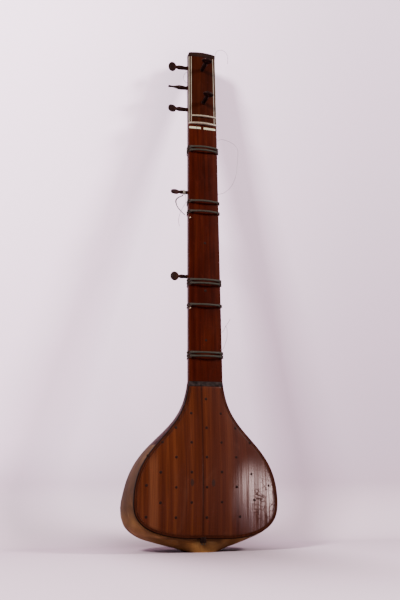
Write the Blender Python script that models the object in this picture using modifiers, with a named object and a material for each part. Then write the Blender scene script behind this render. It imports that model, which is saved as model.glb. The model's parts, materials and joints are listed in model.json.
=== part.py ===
"""A surbahar: a large bass lute with a flattened gourd body, a hollow neck, tied frets and turning pegs.

Units are metres. +Z runs up the neck, the face of the instrument looks along -Y, and +X is to the
right of someone who looks at the face. The origin is the middle of the flat spot under the gourd.
"""

import math

import bmesh
import bpy
import numpy as np
from mathutils import Matrix, Vector

# Fits
GAP = 0.0003                    # between pieces that touch

# Heights along the neck
TOTAL_HEIGHT = 1.300            # foot to the top of the head
HEAD_LENGTH = 0.2095            # nut to the top of the head
WAIST_Z = 0.250                 # where the wooden shoulder takes over from the gourd
BOARD_BOTTOM_Z = 0.030
BOARD_WIDEST_Z = 0.120
BAND_Z = 0.3905                 # lower edge of the dark band between soundboard and neck
BAND_HEIGHT = 0.0125
CAP_HEIGHT = 0.012              # end cap of the head, at its sides
NECK_BOTTOM_Z = BAND_Z + BAND_HEIGHT
NUT_Z = TOTAL_HEIGHT - HEAD_LENGTH
NECK_LENGTH = NUT_Z - NECK_BOTTOM_Z
CAP_Z = TOTAL_HEIGHT - CAP_HEIGHT

# Widths, as half widths
BOARD_HALF = 0.1785
NECK_HALF_LOW = 0.0432          # at the dark band
NECK_HALF_HIGH = 0.0367         # at the top of the head
GOURD_BULGE = 0.0160            # how far the gourd swells past the soundboard
FOOT_HALF_WIDTH = 0.040
FOOT_HALF_DEPTH = 0.038

# Depths, measured back from the face of the neck
FACE_TO_FOOT = 0.056            # face of the neck to the middle of the foot, under the centre of mass
BELLY_DEPTH = 0.080             # face of the neck to the gourd's widest line
BELLY_SAG = 0.015               # how far that line swings back below the belly
GOURD_DEPTH = 0.186
NECK_DEPTH_LOW = 0.050
NECK_DEPTH_HIGH = 0.044
NECK_WIDEST_LOW = 0.0100        # where the neck's round back begins, at the dark band
NECK_WIDEST_HIGH = 0.0144       # and at the top of the head
BELLY_Z = 0.104                 # height where the gourd is widest
BELLY_LOW_Z = 0.030             # height where its widest line has come back from the foot
BACK_Z = 0.132                  # height where the gourd is deepest

# Walls and plates
GOURD_WALL = 0.006
SHOULDER_WALL = 0.008
NECK_WALL = 0.007
PLATE_THICKNESS = 0.0050        # of the soundboard and of the neck's face
BINDING_WIDTH = 0.0075
BOARD_CROWN = 0.010             # rise of the soundboard's dome
BOARD_DROP = 0.005              # how much lower the soundboard's edge lies at its lower right corner
PLATE_CROWN = 0.0020            # rise of the neck's face across its width
SEAM_X = -0.0120                # the joint between the soundboard's two halves
TAIL_BLOCK_HALF = 0.030
TAIL_BLOCK_DEPTH = 0.022
TAIL_BLOCK_TOP = 0.036
BRACE_WIDTH = 0.014
BRACE_DEPTH = 0.012
BRACE_Z = 0.236

# Nut, string guide and inlays
NUT_LENGTH = 0.0048             # along the neck
NUT_RISE = 0.0050               # arch over its ends
NUT_STAND = 0.0022              # how far its ends stand off the face
GUIDE_FROM_NUT = 0.0220
GUIDE_LENGTH = 0.0040
GUIDE_LEFT = -0.0300
GUIDE_RISE = 0.0035
GUIDE_STAND = 0.0018
INLAY_DEPTH = 0.0010
INLAY_FROM_NUT = 0.0153         # nut to the lower edge of the inlaid band
INLAY_BAND_HEIGHT = 0.0056
INLAY_SPANS = (
    ("inlay_left", -0.0370, -0.0178), ("inlay_middle", -0.0165, -0.0062), ("inlay_right", 0.0018, 0.0344),
)
STRIPE_WIDTH = 0.0018
STRIPE_INSET = 0.0065           # from the edge of the head's face
CORNER_STRIPE_WIDTH = 0.0016    # of the stripes along the edges of the head's face
CORNER_STRIPE_DEPTH = 0.0025

# Frets and their ties
FRET_WIDTH = 0.0052             # along the neck
FRET_THICKNESS = 0.0044
FRET_RISE = 0.0090              # arch over the ends
FRET_INSET = 0.0010             # from the side of the neck to the end of a fret
FRET_LIFT = 0.0002              # of the fret's ends, over the gap to the face
TIE_DIAMETER = 0.0013
TIE_OVER = 0.0022               # how far the thread clears a fret's end
TIE_HOOK = 0.0036               # from the end of a fret to the thread that crosses it
FRET_PAIR_STEP = 0.0090
# name, place on the neck as a share of the length from the dark band to the nut, step from there
FRET_PLACES = (
    ("fret_1_upper", 0.8992, 0.0), ("fret_1_lower", 0.8992, -FRET_PAIR_STEP),
    ("fret_2", 0.6800, 0.0), ("fret_3", 0.6393, 0.0),
    ("fret_4_upper", 0.3734, 0.0), ("fret_4_lower", 0.3734, -FRET_PAIR_STEP),
    ("fret_5", 0.2797, 0.0),
    ("fret_6_upper", 0.1030, 0.0), ("fret_6_lower", 0.1030, -FRET_PAIR_STEP),
)
FRETS = [(name, NECK_BOTTOM_Z + share * NECK_LENGTH + step) for name, share, step in FRET_PLACES]

# Tuning pegs
PEG_DEPTH = 0.020               # of the side pegs, back from the face
PEG_BORE = 0.0096               # hole through the wall
PEG_TIP_BORE = 0.0064           # blind hole for the tip
PEG_TIP_DEPTH = 0.0035
SIDE_PEG_REACH = 0.0518         # wall to the end of the head
CHIKARI_PEG_REACH = 0.0430
FRONT_PEG_REACH = 0.0600
PEG_SWELL = 0.0058              # radius of the shaft's belly
CHIKARI_PEG_SWELL = 0.0051
PEG_HEAD_HALF = 0.0138          # half width of the flat head
CHIKARI_PEG_HEAD_HALF = 0.0121
PEG_HEAD_LENGTH = 0.0215
UPPER_PEG_RISE = 0.1703         # of the head's pegs, above the nut
MIDDLE_PEG_RISE = 0.1108
LOWER_PEG_RISE = 0.0472
UPPER_FRONT_RISE = 0.1583
LOWER_FRONT_RISE = 0.0618
HEAD_PEG = (SIDE_PEG_REACH, PEG_SWELL, PEG_HEAD_HALF)
FRONT_PEG = (FRONT_PEG_REACH, PEG_SWELL, PEG_HEAD_HALF)
CHIKARI_PEG = (CHIKARI_PEG_REACH, CHIKARI_PEG_SWELL, CHIKARI_PEG_HEAD_HALF)
# name, height on the neck, shape, turn of the flat head in degrees
SIDE_PEGS = (
    ("peg_side_upper", NUT_Z + UPPER_PEG_RISE, HEAD_PEG, 0.0),
    ("peg_side_middle", NUT_Z + MIDDLE_PEG_RISE, HEAD_PEG, 63.0),
    ("peg_side_lower", NUT_Z + LOWER_PEG_RISE, HEAD_PEG, 22.0),
    ("peg_chikari_upper", NECK_BOTTOM_Z + 0.7244 * NECK_LENGTH, CHIKARI_PEG, 41.0),
    ("peg_chikari_lower", NECK_BOTTOM_Z + 0.3926 * NECK_LENGTH, CHIKARI_PEG, 4.0),
)
# name, place across the face, height on the neck, turn of the flat head in degrees
FRONT_PEGS = (
    ("peg_front_upper", -0.0010, NUT_Z + UPPER_FRONT_RISE, 82.0),
    ("peg_front_lower", 0.0016, NUT_Z + LOWER_FRONT_RISE, 80.0),
)

# Small pins and the tail hitch
POST_DIAMETER = 0.0026
POST_HEIGHT = 0.0060
POST_DEPTH = 0.0030             # below the face
POST_INSET = 0.0025
POSTS = (
    ("chikari_post_upper", NECK_BOTTOM_Z + 0.6131 * NECK_LENGTH),
    ("chikari_post_lower", NECK_BOTTOM_Z + 0.2662 * NECK_LENGTH),
)
HITCH_WIDTH = 0.0130
HITCH_THICKNESS = 0.0045
HITCH_TOP_Z = 0.0360
HITCH_BOTTOM_Z = 0.0230
HITCH_PIN_DIAMETER = 0.0026
HITCH_PIN_LENGTH = 0.0045
HITCH_PIN_SPREAD = 0.0066

# Loose string ends, as routes of hand-chosen points (x, depth from the face, z)
WIRE_DIAMETER = 0.0009
WIRE_POINTS = 70                # at most, on one wire
WIRE_ROUTES = {
    "wire_loop_right": (
        (0.0387, 0.017, 1.0487), (0.0459, 0.0165, 1.0557), (0.0579, 0.017, 1.0609), (0.072, 0.018, 1.0595),
        (0.086, 0.019, 1.0552), (0.097, 0.020, 1.0482), (0.103, 0.020, 1.0362), (0.1035, 0.020, 1.0207),
        (0.1002, 0.020, 0.9871), (0.0964, 0.020, 0.9606), (0.0838, 0.020, 0.9317), (0.066, 0.019, 0.9124),
        (0.0518, 0.0175, 0.905), (0.0396, 0.017, 0.9015),
    ),
    "wire_head_right": (
        (0.0374, 0.017, 1.2749), (0.0416, 0.019, 1.2869), (0.0433, 0.021, 1.3059), (0.0482, 0.022, 1.3249),
        (0.0591, 0.020, 1.3309), (0.0707, 0.020, 1.3284), (0.0784, 0.020, 1.3193), (0.0804, 0.020, 1.3079),
        (0.079, 0.020, 1.2917),
    ),
    "wire_head_left": (
        (-0.0372, 0.017, 1.2478), (-0.0418, 0.018, 1.2456), (-0.0465, 0.020, 1.2368),
        (-0.0461, 0.020, 1.2258), (-0.0421, 0.018, 1.218), (-0.0374, 0.017, 1.2158),
    ),
    "wire_low_front": (
        (0.0421, 0.017, 0.5292), (0.0465, 0.018, 0.5307), (0.0537, 0.019, 0.5366), (0.0589, 0.020, 0.546),
        (0.0655, 0.020, 0.5563), (0.0727, 0.020, 0.5675),
    ),
    "wire_low_back": (
        (0.0424, 0.017, 0.4872), (0.0466, 0.018, 0.4875), (0.0522, 0.0195, 0.4907), (0.0581, 0.021, 0.5033),
        (0.0623, 0.020, 0.5171), (0.0637, 0.020, 0.5311), (0.0631, 0.021, 0.544), (0.0595, 0.023, 0.5503),
    ),
}

# The string left on the upper chikari peg: turns on the shaft, a thick tail and a thin strand
TAIL_DIAMETER = 0.0013
WINDING_TURNS = 3
WINDING_STEP = 0.0020
WINDING_START = 0.0050          # from the neck's side
TAIL_ROUTE = (
    (0.000, 0.000, 0.000), (-0.0010, 0.0010, -0.0030), (-0.0047, 0.0017, -0.0048), (-0.0108, 0.0027, -0.0078),
    (-0.0157, 0.0027, -0.0123), (-0.0180, 0.0017, -0.0179), (-0.0178, 0.0007, -0.0247), (-0.0154, -0.0003, -0.0329),
    (-0.0106, -0.0013, -0.0408), (-0.0033, -0.0023, -0.0492), (0.0046, -0.0033, -0.0566),
)
STRAND_ROUTE = (
    (0.000, 0.000, 0.000), (0.0008, -0.0005, -0.0040), (0.0018, 0.0000, -0.0095), (0.0020, 0.0005, -0.0172),
    (0.0008, 0.0015, -0.0238), (-0.0027, 0.0030, -0.0299), (-0.0078, 0.0040, -0.0388), (-0.0112, 0.0040, -0.0465),
    (-0.0141, 0.0040, -0.0548), (-0.0164, 0.0035, -0.0641), (-0.0176, 0.0030, -0.0733), (-0.0167, 0.0030, -0.0812),
    (-0.0150, 0.0030, -0.0871),
)

RIM = PLATE_THICKNESS + GAP     # depth of the edge that the face plates sit on
HITCH_X = SEAM_X
LOWER_POWER = 2.8               # squareness of the soundboard's lower outline
BELLY_POWER = 2.2               # squareness of the gourd's back, seen from the side
BACK_POWER = 2.2                # squareness of the back of each level section
NECK_ARC_STEPS = 10

# The flare from the soundboard's widest place (0) to the neck (1): share of the extra half width left
FLARE = ((0.0, 1.0), (0.10, 0.982), (0.19, 0.940), (0.295, 0.850), (0.40, 0.706), (0.50, 0.527),
         (0.60, 0.341), (0.70, 0.191), (0.80, 0.090), (0.90, 0.033), (1.0, 0.0))
# The gourd's half width from the foot (0) to its widest place (1): share of the growth
BELLY_RISE = ((0.0, 0.0), (0.08, 0.165), (0.15, 0.35), (0.20, 0.47), (0.28, 0.645), (0.39, 0.79),
              (0.52, 0.895), (0.75, 0.975), (1.0, 1.0))
# The gourd's swell past the soundboard, from its widest place (0) to the neck (1): share left
BULGE_FADE = ((0.0, 1.0), (0.15, 0.66), (0.30, 0.52), (0.46, 0.48), (0.60, 0.24), (0.70, 0.07),
              (0.78, 0.03), (0.88, 0.03), (1.0, 0.03))
# The back's fall from its deepest place (0) to the neck (1): share of the extra depth left
BACK_FALL = ((0.0, 1.0), (0.12, 0.975), (0.26, 0.880), (0.42, 0.690), (0.58, 0.440), (0.72, 0.235),
             (0.86, 0.090), (1.0, 0.0))


def clear_scene():
    for thing in list(bpy.data.objects):
        bpy.data.objects.remove(thing, do_unlink=True)


def collection(name):
    made = bpy.data.collections.new(name)
    bpy.context.scene.collection.children.link(made)
    return made


def material(name, colour, roughness=0.5, metallic=0.0):
    made = bpy.data.materials.new(name)
    made.use_nodes = True
    shader = made.node_tree.nodes["Principled BSDF"]
    shader.inputs["Base Color"].default_value = (*colour, 1.0)
    shader.inputs["Roughness"].default_value = roughness
    shader.inputs["Metallic"].default_value = metallic
    return made


def smooth_table(table, at):
    """The height at 'at' of a smooth curve through a table's points (cubic, with eased slopes)."""
    xs = np.array([x for x, _ in table])
    ys = np.array([y for _, y in table])
    slopes = np.gradient(ys, xs)
    at = min(max(at, xs[0]), xs[-1])
    i = min(int(np.searchsorted(xs, at, side="right")) - 1, len(xs) - 2)
    step = xs[i + 1] - xs[i]
    t = (at - xs[i]) / step
    keep = (1 + 2 * t) * (1 - t) ** 2 * ys[i] + t * t * (3 - 2 * t) * ys[i + 1]
    lean = t * (1 - t) ** 2 * slopes[i] - t * t * (1 - t) * slopes[i + 1]
    return float(keep + step * lean)


def squared(share, power):
    """The other leg of a superellipse of radius one, for a leg of 'share'."""
    return max(0.0, 1.0 - min(1.0, abs(share)) ** power) ** (1.0 / power)


def neck_share(z):
    return (z - NECK_BOTTOM_Z) / (TOTAL_HEIGHT - NECK_BOTTOM_Z)


def neck_half(z):
    return NECK_HALF_LOW + (NECK_HALF_HIGH - NECK_HALF_LOW) * neck_share(z)


def neck_depth(z):
    return NECK_DEPTH_LOW + (NECK_DEPTH_HIGH - NECK_DEPTH_LOW) * neck_share(z)


def neck_widest(z):
    """Depth where the neck's round back begins."""
    return NECK_WIDEST_LOW + (NECK_WIDEST_HIGH - NECK_WIDEST_LOW) * neck_share(z)


def board_half(z):
    """Half width of the soundboard's outline at a height."""
    if z >= BOARD_WIDEST_Z:
        share = (z - BOARD_WIDEST_Z) / (NECK_BOTTOM_Z - BOARD_WIDEST_Z)
        return NECK_HALF_LOW + (BOARD_HALF - NECK_HALF_LOW) * smooth_table(FLARE, share)
    return BOARD_HALF * squared((BOARD_WIDEST_Z - z) / (BOARD_WIDEST_Z - BOARD_BOTTOM_Z), LOWER_POWER)


def rounded_rise(z, peak_z, peak, start):
    """A superelliptic rise from 'start' at the foot (z = 0) to 'peak' at peak_z."""
    reach = peak_z / (1 - (start / peak) ** BELLY_POWER) ** (1 / BELLY_POWER)
    return peak * squared((peak_z - z) / reach, BELLY_POWER)


def widest_depth(z):
    """Depth of the widest line of the body at a height."""
    if z <= BELLY_Z:
        share = min(1.0, z / BELLY_LOW_Z)
        sag = BELLY_SAG * math.sin(math.pi * math.sqrt(z / BELLY_Z))
        return FACE_TO_FOOT + (BELLY_DEPTH - FACE_TO_FOOT) * share * share * (3 - 2 * share) + sag
    share = (z - BELLY_Z) / (NECK_BOTTOM_Z - BELLY_Z)
    return BELLY_DEPTH + (NECK_WIDEST_LOW - BELLY_DEPTH) * share * share * (3 - 2 * share)


def body_section(z):
    """Half width, widest depth, front radius and back radius of the body's level section at a height."""
    if z <= BELLY_Z:
        growth = BOARD_HALF + GOURD_BULGE - FOOT_HALF_WIDTH
        half = FOOT_HALF_WIDTH + growth * smooth_table(BELLY_RISE, z / BELLY_Z)
    else:
        rise = (z - BELLY_Z) / (NECK_BOTTOM_Z - BELLY_Z)
        half = board_half(z) + GOURD_BULGE * smooth_table(BULGE_FADE, rise)
    widest = widest_depth(z)
    if z <= BACK_Z:
        back = rounded_rise(z, BACK_Z, GOURD_DEPTH - widest_depth(BACK_Z), FOOT_HALF_DEPTH)
    else:
        share = (z - BACK_Z) / (NECK_BOTTOM_Z - BACK_Z)
        depth = NECK_DEPTH_LOW + (GOURD_DEPTH - NECK_DEPTH_LOW) * smooth_table(BACK_FALL, share)
        back = depth - widest
    if z < BOARD_BOTTOM_Z:
        open_share = z / BOARD_BOTTOM_Z
        front = FOOT_HALF_DEPTH + (widest - RIM - FOOT_HALF_DEPTH) * math.sqrt(1 - (1 - open_share) ** 2)
    else:
        front = (widest - RIM) / math.sqrt(1 - min(0.9999, (board_half(z) / half) ** 2))
    return half, widest, front, back


def body_ring(z, inset=0.0, sides=40):
    """The closed level section of the body. With an inset it is the inside of a wall of that thickness."""
    lower = z - inset * max(0.0, 1 - (z - inset) / BELLY_Z)
    half, widest, front, back = body_section(max(0.0, lower))
    half, front, back = half - inset, front - inset, back - inset
    ring = []
    for k in range(sides):
        turn = 2 * math.pi * k / sides
        x = math.cos(turn)
        y = math.sin(turn)
        if y > 0:
            x = math.copysign(abs(x) ** (2 / BACK_POWER), x)
            y = abs(y) ** (2 / BACK_POWER)
        depth = widest + y * (back if y > 0 else front)
        ring.append(Vector((half * x, depth - FACE_TO_FOOT, z)))
    return ring


def neck_path(z, out=0.0, start_depth=RIM):
    """The U of the neck's outside, from its left front edge round the back, 'out' metres off it."""
    half = neck_half(z)
    widest = neck_widest(z)
    back = neck_depth(z) - widest
    path = [Vector((-half, start_depth))]
    for k in range(NECK_ARC_STEPS + 1):
        turn = math.pi * (1 - k / NECK_ARC_STEPS)
        x = math.copysign(abs(math.cos(turn)) ** (2 / BACK_POWER), math.cos(turn))
        y = abs(math.sin(turn)) ** (2 / BACK_POWER)
        path.append(Vector((half * x, widest + back * y)))
    path.append(Vector((half, start_depth)))
    return [Vector((point.x, point.y - FACE_TO_FOOT, z)) for point in moved_out(path, out)]


def moved_out(path, out):
    """An open path of 2D points moved to its left by 'out', with its corners kept sharp."""
    moved = []
    for i, point in enumerate(path):
        before = (point - path[max(0, i - 1)]).normalized()
        after = (path[min(len(path) - 1, i + 1)] - point).normalized()
        before = before if before.length else after
        after = after if after.length else before
        normal = Vector((-before.y - after.y, before.x + after.x)).normalized()
        corner = normal.dot(Vector((-before.y, before.x)))
        moved.append(point + normal * out / corner)
    return moved


def face_y(x, z):
    """The outer surface of the face: the soundboard's dome below, the neck's slight crown above."""
    if z >= NECK_BOTTOM_Z:
        return -FACE_TO_FOOT - PLATE_CROWN * (1 - (x / neck_half(z)) ** 2)
    share = (z - BOARD_BOTTOM_Z) / (NECK_BOTTOM_Z - BOARD_BOTTOM_Z)
    rise = BOARD_CROWN * math.sin(math.pi * max(0.0, share) ** 0.75) + PLATE_CROWN * max(0.0, share)
    across = 1 - min(1.0, (x / max(board_half(z), 1e-4)) ** 2)
    return -FACE_TO_FOOT - rise * across


def board_point(x, z):
    """A point of the soundboard's outer surface, whose lower edge is tilted."""
    fade = max(0.0, (BOARD_WIDEST_Z - z) / (BOARD_WIDEST_Z - BOARD_BOTTOM_Z))
    return Vector((x, face_y(x, z), z - BOARD_DROP * x / BOARD_HALF * fade))


class Bench:
    """Where finished pieces and cutters are put."""

    pieces = None
    cutters = None


def add(name, mesh, finish, location=(0, 0, 0), rotation=None, smooth=True):
    piece = bpy.data.objects.new(name, mesh)
    mesh.materials.clear()
    mesh.materials.append(finish)
    if smooth:
        mesh.shade_smooth()
        mesh.set_sharp_from_angle(angle=math.radians(35))
    piece.location = location
    if rotation is not None:
        piece.rotation_euler = rotation.to_euler()
    Bench.pieces.objects.link(piece)
    return piece


def mesh_of(name, build):
    """A mesh made by a function that fills a bmesh, with its faces turned outwards."""
    work = bmesh.new()
    build(work)
    bmesh.ops.recalc_face_normals(work, faces=work.faces)
    mesh = bpy.data.meshes.new(name)
    work.to_mesh(mesh)
    work.free()
    return mesh


def loft(name, rings):
    """A closed solid through rings of equally many points, with a face on each end."""

    def build(work):
        rows = [[work.verts.new(point) for point in ring] for ring in rings]
        count = len(rows[0])
        for low, high in zip(rows, rows[1:]):
            for k in range(count):
                work.faces.new((low[k], low[(k + 1) % count], high[(k + 1) % count], high[k]))
        work.faces.new(list(reversed(rows[0])))
        work.faces.new(rows[-1])

    return mesh_of(name, build)


def sheet(name, rows):
    """An open surface through rows of equally many points, its faces towards -Y."""

    def build(work):
        made = [[work.verts.new(point) for point in row] for row in rows]
        for low, high in zip(made, made[1:]):
            for k in range(len(low) - 1):
                work.faces.new((low[k], low[k + 1], high[k + 1], high[k]))

    mesh = mesh_of(name, build)
    if sum(face.normal.y for face in mesh.polygons) > 0:
        mesh.flip_normals()
    return mesh


def solidify(piece, thickness):
    wall = piece.modifiers.new("wall", "SOLIDIFY")
    wall.thickness = thickness
    wall.offset = -1.0
    wall.use_even_offset = False


def cutter(name, mesh, location=(0, 0, 0), rotation=None):
    tool = bpy.data.objects.new(name, mesh)
    tool.location = location
    if rotation is not None:
        tool.rotation_euler = rotation.to_euler()
    tool.hide_render = True
    tool.display_type = "WIRE"
    Bench.cutters.objects.link(tool)
    return tool


def boolean(piece, tool, operation="DIFFERENCE"):
    step = piece.modifiers.new(tool.name, "BOOLEAN")
    step.operation = operation
    step.solver = "EXACT"
    step.object = tool


def box_mesh(name, low, high):
    def build(work):
        bmesh.ops.create_cube(work, size=1.0)
        for corner in work.verts:
            for axis in range(3):
                corner.co[axis] = low[axis] if corner.co[axis] < 0 else high[axis]

    return mesh_of(name, build)


def rod_mesh(name, radius, start, end, sides=24, end_radius=None):
    """A rod along Z from start to end, or a cone where it ends at another radius."""

    def build(work):
        bmesh.ops.create_cone(
            work, cap_ends=True, segments=sides, radius1=radius,
            radius2=radius if end_radius is None else end_radius, depth=end - start,
        )
        bmesh.ops.translate(work, verts=work.verts, vec=(0, 0, (start + end) / 2))

    return mesh_of(name, build)


def smooth_route(points, spacing):
    """Points a set distance apart on a smooth curve through a route's own points."""
    route = [Vector(point) for point in points]
    fine = []
    for i in range(len(route) - 1):
        before = route[max(0, i - 1)]
        after = route[min(len(route) - 1, i + 2)]
        a, b = route[i], route[i + 1]
        for k in range(20):
            t = k / 20
            fine.append(
                0.5 * ((2 * a) + (b - before) * t + (2 * before - 5 * a + 4 * b - after) * t * t
                       + (3 * a - before - 3 * b + after) * t ** 3)
            )
    fine.append(route[-1])
    lengths = [0.0]
    for a, b in zip(fine, fine[1:]):
        lengths.append(lengths[-1] + (b - a).length)
    count = max(6, round(lengths[-1] / spacing))
    found = []
    for k in range(count + 1):
        target = lengths[-1] * k / count
        i = min(int(np.searchsorted(lengths, target, side="right")) - 1, len(fine) - 2)
        share = (target - lengths[i]) / (lengths[i + 1] - lengths[i])
        found.append(fine[i].lerp(fine[i + 1], share))
    return found, lengths[-1]


def tube(name, points, diameter, finish, roundness):
    """A wire or thread: a poly curve with a round bevel and filled caps."""
    curve = bpy.data.curves.new(name, "CURVE")
    curve.dimensions = "3D"
    curve.bevel_depth = diameter / 2
    curve.bevel_resolution = roundness
    curve.use_fill_caps = True
    spline = curve.splines.new("POLY")
    spline.points.add(len(points) - 1)
    for place, point in zip(spline.points, points):
        place.co = (*point, 1.0)
    curve.materials.append(finish)
    piece = bpy.data.objects.new(name, curve)
    Bench.pieces.objects.link(piece)
    return piece


def least_self_gap(points, diameter, skip):
    """The least gap of a tube to itself, measured between points that are at least 'skip' apart along it."""
    spots = np.array([tuple(point) for point in points])
    far = np.linalg.norm(spots[:, None] - spots[None, :], axis=2)
    far[np.abs(np.subtract.outer(np.arange(len(spots)), np.arange(len(spots)))) < skip] = 1.0
    return float(far.min()) - diameter


def outline(inset):
    """The soundboard's right-hand outline, bottom to top, moved inwards by 'inset'."""
    points = []
    first = math.asin(0.30 ** (LOWER_POWER / 2))
    for k in range(10):
        turn = first + (math.pi / 2 - first) * k / 9
        x = BOARD_HALF * math.sin(turn) ** (2 / LOWER_POWER)
        z = BOARD_WIDEST_Z - (BOARD_WIDEST_Z - BOARD_BOTTOM_Z) * math.cos(turn) ** (2 / LOWER_POWER)
        points.append(Vector((x, z)))
    for k in range(1, 15):
        z = BOARD_WIDEST_Z + (BAND_Z - BOARD_WIDEST_Z) * k / 14
        points.append(Vector((board_half(z), z)))
    moved = []
    for i, point in enumerate(points):
        along = points[min(i + 1, len(points) - 1)] - points[max(i - 1, 0)]
        normal = Vector((-along.y, along.x)).normalized()
        moved.append(point + normal * inset)
    moved[0].x = points[0].x
    moved[-1].y = BAND_Z
    return moved


def make_gourd(finish):
    """The gourd: a thin bowl, cut open along the face and at the shoulder, with a flat spot to stand on."""
    low = [BELLY_Z * (1 - math.cos(math.pi / 2 * k / 9)) for k in range(10)]
    high = [BELLY_Z + (WAIST_Z - BELLY_Z) * k / 6 for k in range(1, 7)]
    gourd = add("gourd_shell", loft("gourd_shell", [body_ring(z) for z in low + high]), finish)
    boolean(gourd, cutter("gourd_hollow", hollow_mesh("gourd_hollow")))
    return gourd


def hollow_mesh(name, shrink=0.0):
    """The room inside the gourd, shrunk towards its middle by a share."""
    levels = [GOURD_WALL + (BELLY_Z - GOURD_WALL) * (1 - math.cos(math.pi / 2 * k / 7)) for k in range(8)]
    levels += [BELLY_Z + (WAIST_Z - BELLY_Z) * k / 4 for k in range(1, 4)] + [WAIST_Z + GOURD_WALL]
    middle = Vector((0, BELLY_DEPTH - FACE_TO_FOOT, BELLY_Z))
    rings = [body_ring(z, GOURD_WALL, 24) for z in levels]
    return loft(name, [[point.lerp(middle, shrink) for point in ring] for ring in rings])


def make_shoulder(finish):
    """The wooden shoulder that flares from the gourd into the neck."""
    bottom = WAIST_Z + GAP
    top = NECK_BOTTOM_Z - GAP
    levels = [bottom + (top - bottom) * k / 9 for k in range(10)]
    shoulder = add("shoulder", loft("shoulder", [body_ring(z) for z in levels]), finish)
    inner = [bottom - SHOULDER_WALL] + levels[1:-1] + [top + SHOULDER_WALL]
    room = loft("shoulder_hollow", [body_ring(z, SHOULDER_WALL, 24) for z in inner])
    boolean(shoulder, cutter("shoulder_hollow", room))
    return shoulder


def open_front(piece):
    """Cuts everything in front of the edge that the face plates sit on."""
    reach = BOARD_HALF * 2
    front = cutter(
        piece.name + "_front",
        box_mesh("front", (-reach, -FACE_TO_FOOT - reach, -reach), (reach, RIM - FACE_TO_FOOT, TOTAL_HEIGHT)),
    )
    boolean(piece, front)


def make_boards(finish_left, finish_right, finish_binding):
    """The domed soundboard in two halves, and the strip that runs round its edge."""
    inner = outline(BINDING_WIDTH + GAP)
    columns = 8
    for name, finish, start, side in (
        ("soundboard_left", finish_left, SEAM_X - GAP / 2, -1),
        ("soundboard_right", finish_right, SEAM_X + GAP / 2, 1),
    ):
        rows = []
        for x, z in inner:
            row = [start + (side * x - start) * k / columns for k in range(columns + 1)]
            rows.append([board_point(at, z) for at in row])
        solidify(add(name, sheet(name, rows), finish), PLATE_THICKNESS)
    edge = outline(0.0)
    strip = outline(BINDING_WIDTH)
    pairs = list(zip(edge, strip))
    left = [(Vector((-a.x, a.y)), Vector((-b.x, b.y))) for a, b in reversed(pairs)]
    rows = []
    for a, b in left + pairs:
        row = [a.lerp(b, k / 2) for k in range(3)]
        rows.append([board_point(at.x, at.y) for at in row])
    solidify(add("soundboard_binding", sheet("soundboard_binding", rows), finish_binding), PLATE_THICKNESS)


def face_plate(name, low, high, finish, rows=2, columns=8, half=neck_half):
    """A plate of the neck's face between two heights."""
    made = []
    for k in range(rows):
        z = low + (high - low) * k / (rows - 1)
        made.append([
            Vector((half(z) * (2 * j / columns - 1), face_y(half(z) * (2 * j / columns - 1), z), z))
            for j in range(columns + 1)
        ])
    plate = add(name, sheet(name, made), finish)
    solidify(plate, PLATE_THICKNESS - PLATE_CROWN if half is neck_half else PLATE_THICKNESS)
    return plate


def solid_plate(name, low, high, finish, columns=8):
    """A plate with a crowned face and a flat back, between two heights of the neck."""
    rings = []
    for z in (low, high):
        half = neck_half(z)
        across = [half * (2 * j / columns - 1) for j in range(columns + 1)]
        ring = [Vector((x, face_y(x, z), z)) for x in across]
        back = PLATE_THICKNESS - FACE_TO_FOOT
        rings.append(ring + [Vector((half, back, z)), Vector((-half, back, z))])
    return add(name, loft(name, rings), finish)


def make_neck(finish):
    """The hollow neck, a trough with a round back, open along its face."""
    rings = []
    for z in (NECK_BOTTOM_Z, CAP_Z - GAP):
        outside = neck_path(z)
        inside = list(reversed(neck_path(z, -NECK_WALL)))
        rings.append(outside + inside)
    return add("neck_trough", loft("neck_trough", rings), finish)


def make_head_cap(finish):
    """The end of the head: a block of the neck's section with an arched top."""
    rings = []
    for lift, inset in ((0.0, 0.0), (CAP_HEIGHT * 0.75, 0.0), (CAP_HEIGHT, 0.0012)):
        ring = []
        half = neck_half(CAP_Z)
        path = [Vector((point.x, point.y + FACE_TO_FOOT, 0)) for point in neck_path(CAP_Z, -inset, inset)]
        for j in range(1, 6):
            x = (half - inset) * (1 - 2 * j / 6)
            path.append(Vector((x, -PLATE_CROWN * (1 - (x / half) ** 2) + inset, 0)))
        for point in path:
            arch = CAP_HEIGHT * 0.25 * (1 - (point.x / half) ** 2) * lift / CAP_HEIGHT
            ring.append(Vector((point.x, point.y - FACE_TO_FOOT, CAP_Z + lift + arch)))
        rings.append(ring)
    return add("head_cap", loft("head_cap", rings), finish)


def arched_bar(name, z, length, left, right, base, stand, rise, finish, stations=9):
    """A bar across the neck with an arched top. 'base' gives the depth of its underside at a place."""
    rings = []
    middle = (left + right) / 2
    for k in range(stations):
        x = left + (right - left) * k / (stations - 1)
        share = (x - middle) / ((right - left) / 2)
        top = -stand - PLATE_CROWN * (1 - (x / neck_half(z)) ** 2) - rise * (1 - share ** 2)
        bottom = base(x)
        rings.append([
            Vector((x, bottom - FACE_TO_FOOT, z - length / 2)),
            Vector((x, bottom - FACE_TO_FOOT, z + length / 2)),
            Vector((x, top + length * 0.2 - FACE_TO_FOOT, z + length / 2)),
            Vector((x, top - FACE_TO_FOOT, z + length * 0.22)),
            Vector((x, top - FACE_TO_FOOT, z - length * 0.22)),
            Vector((x, top + length * 0.2 - FACE_TO_FOOT, z - length / 2)),
        ])
    return add(name, loft(name, rings), finish)


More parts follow.
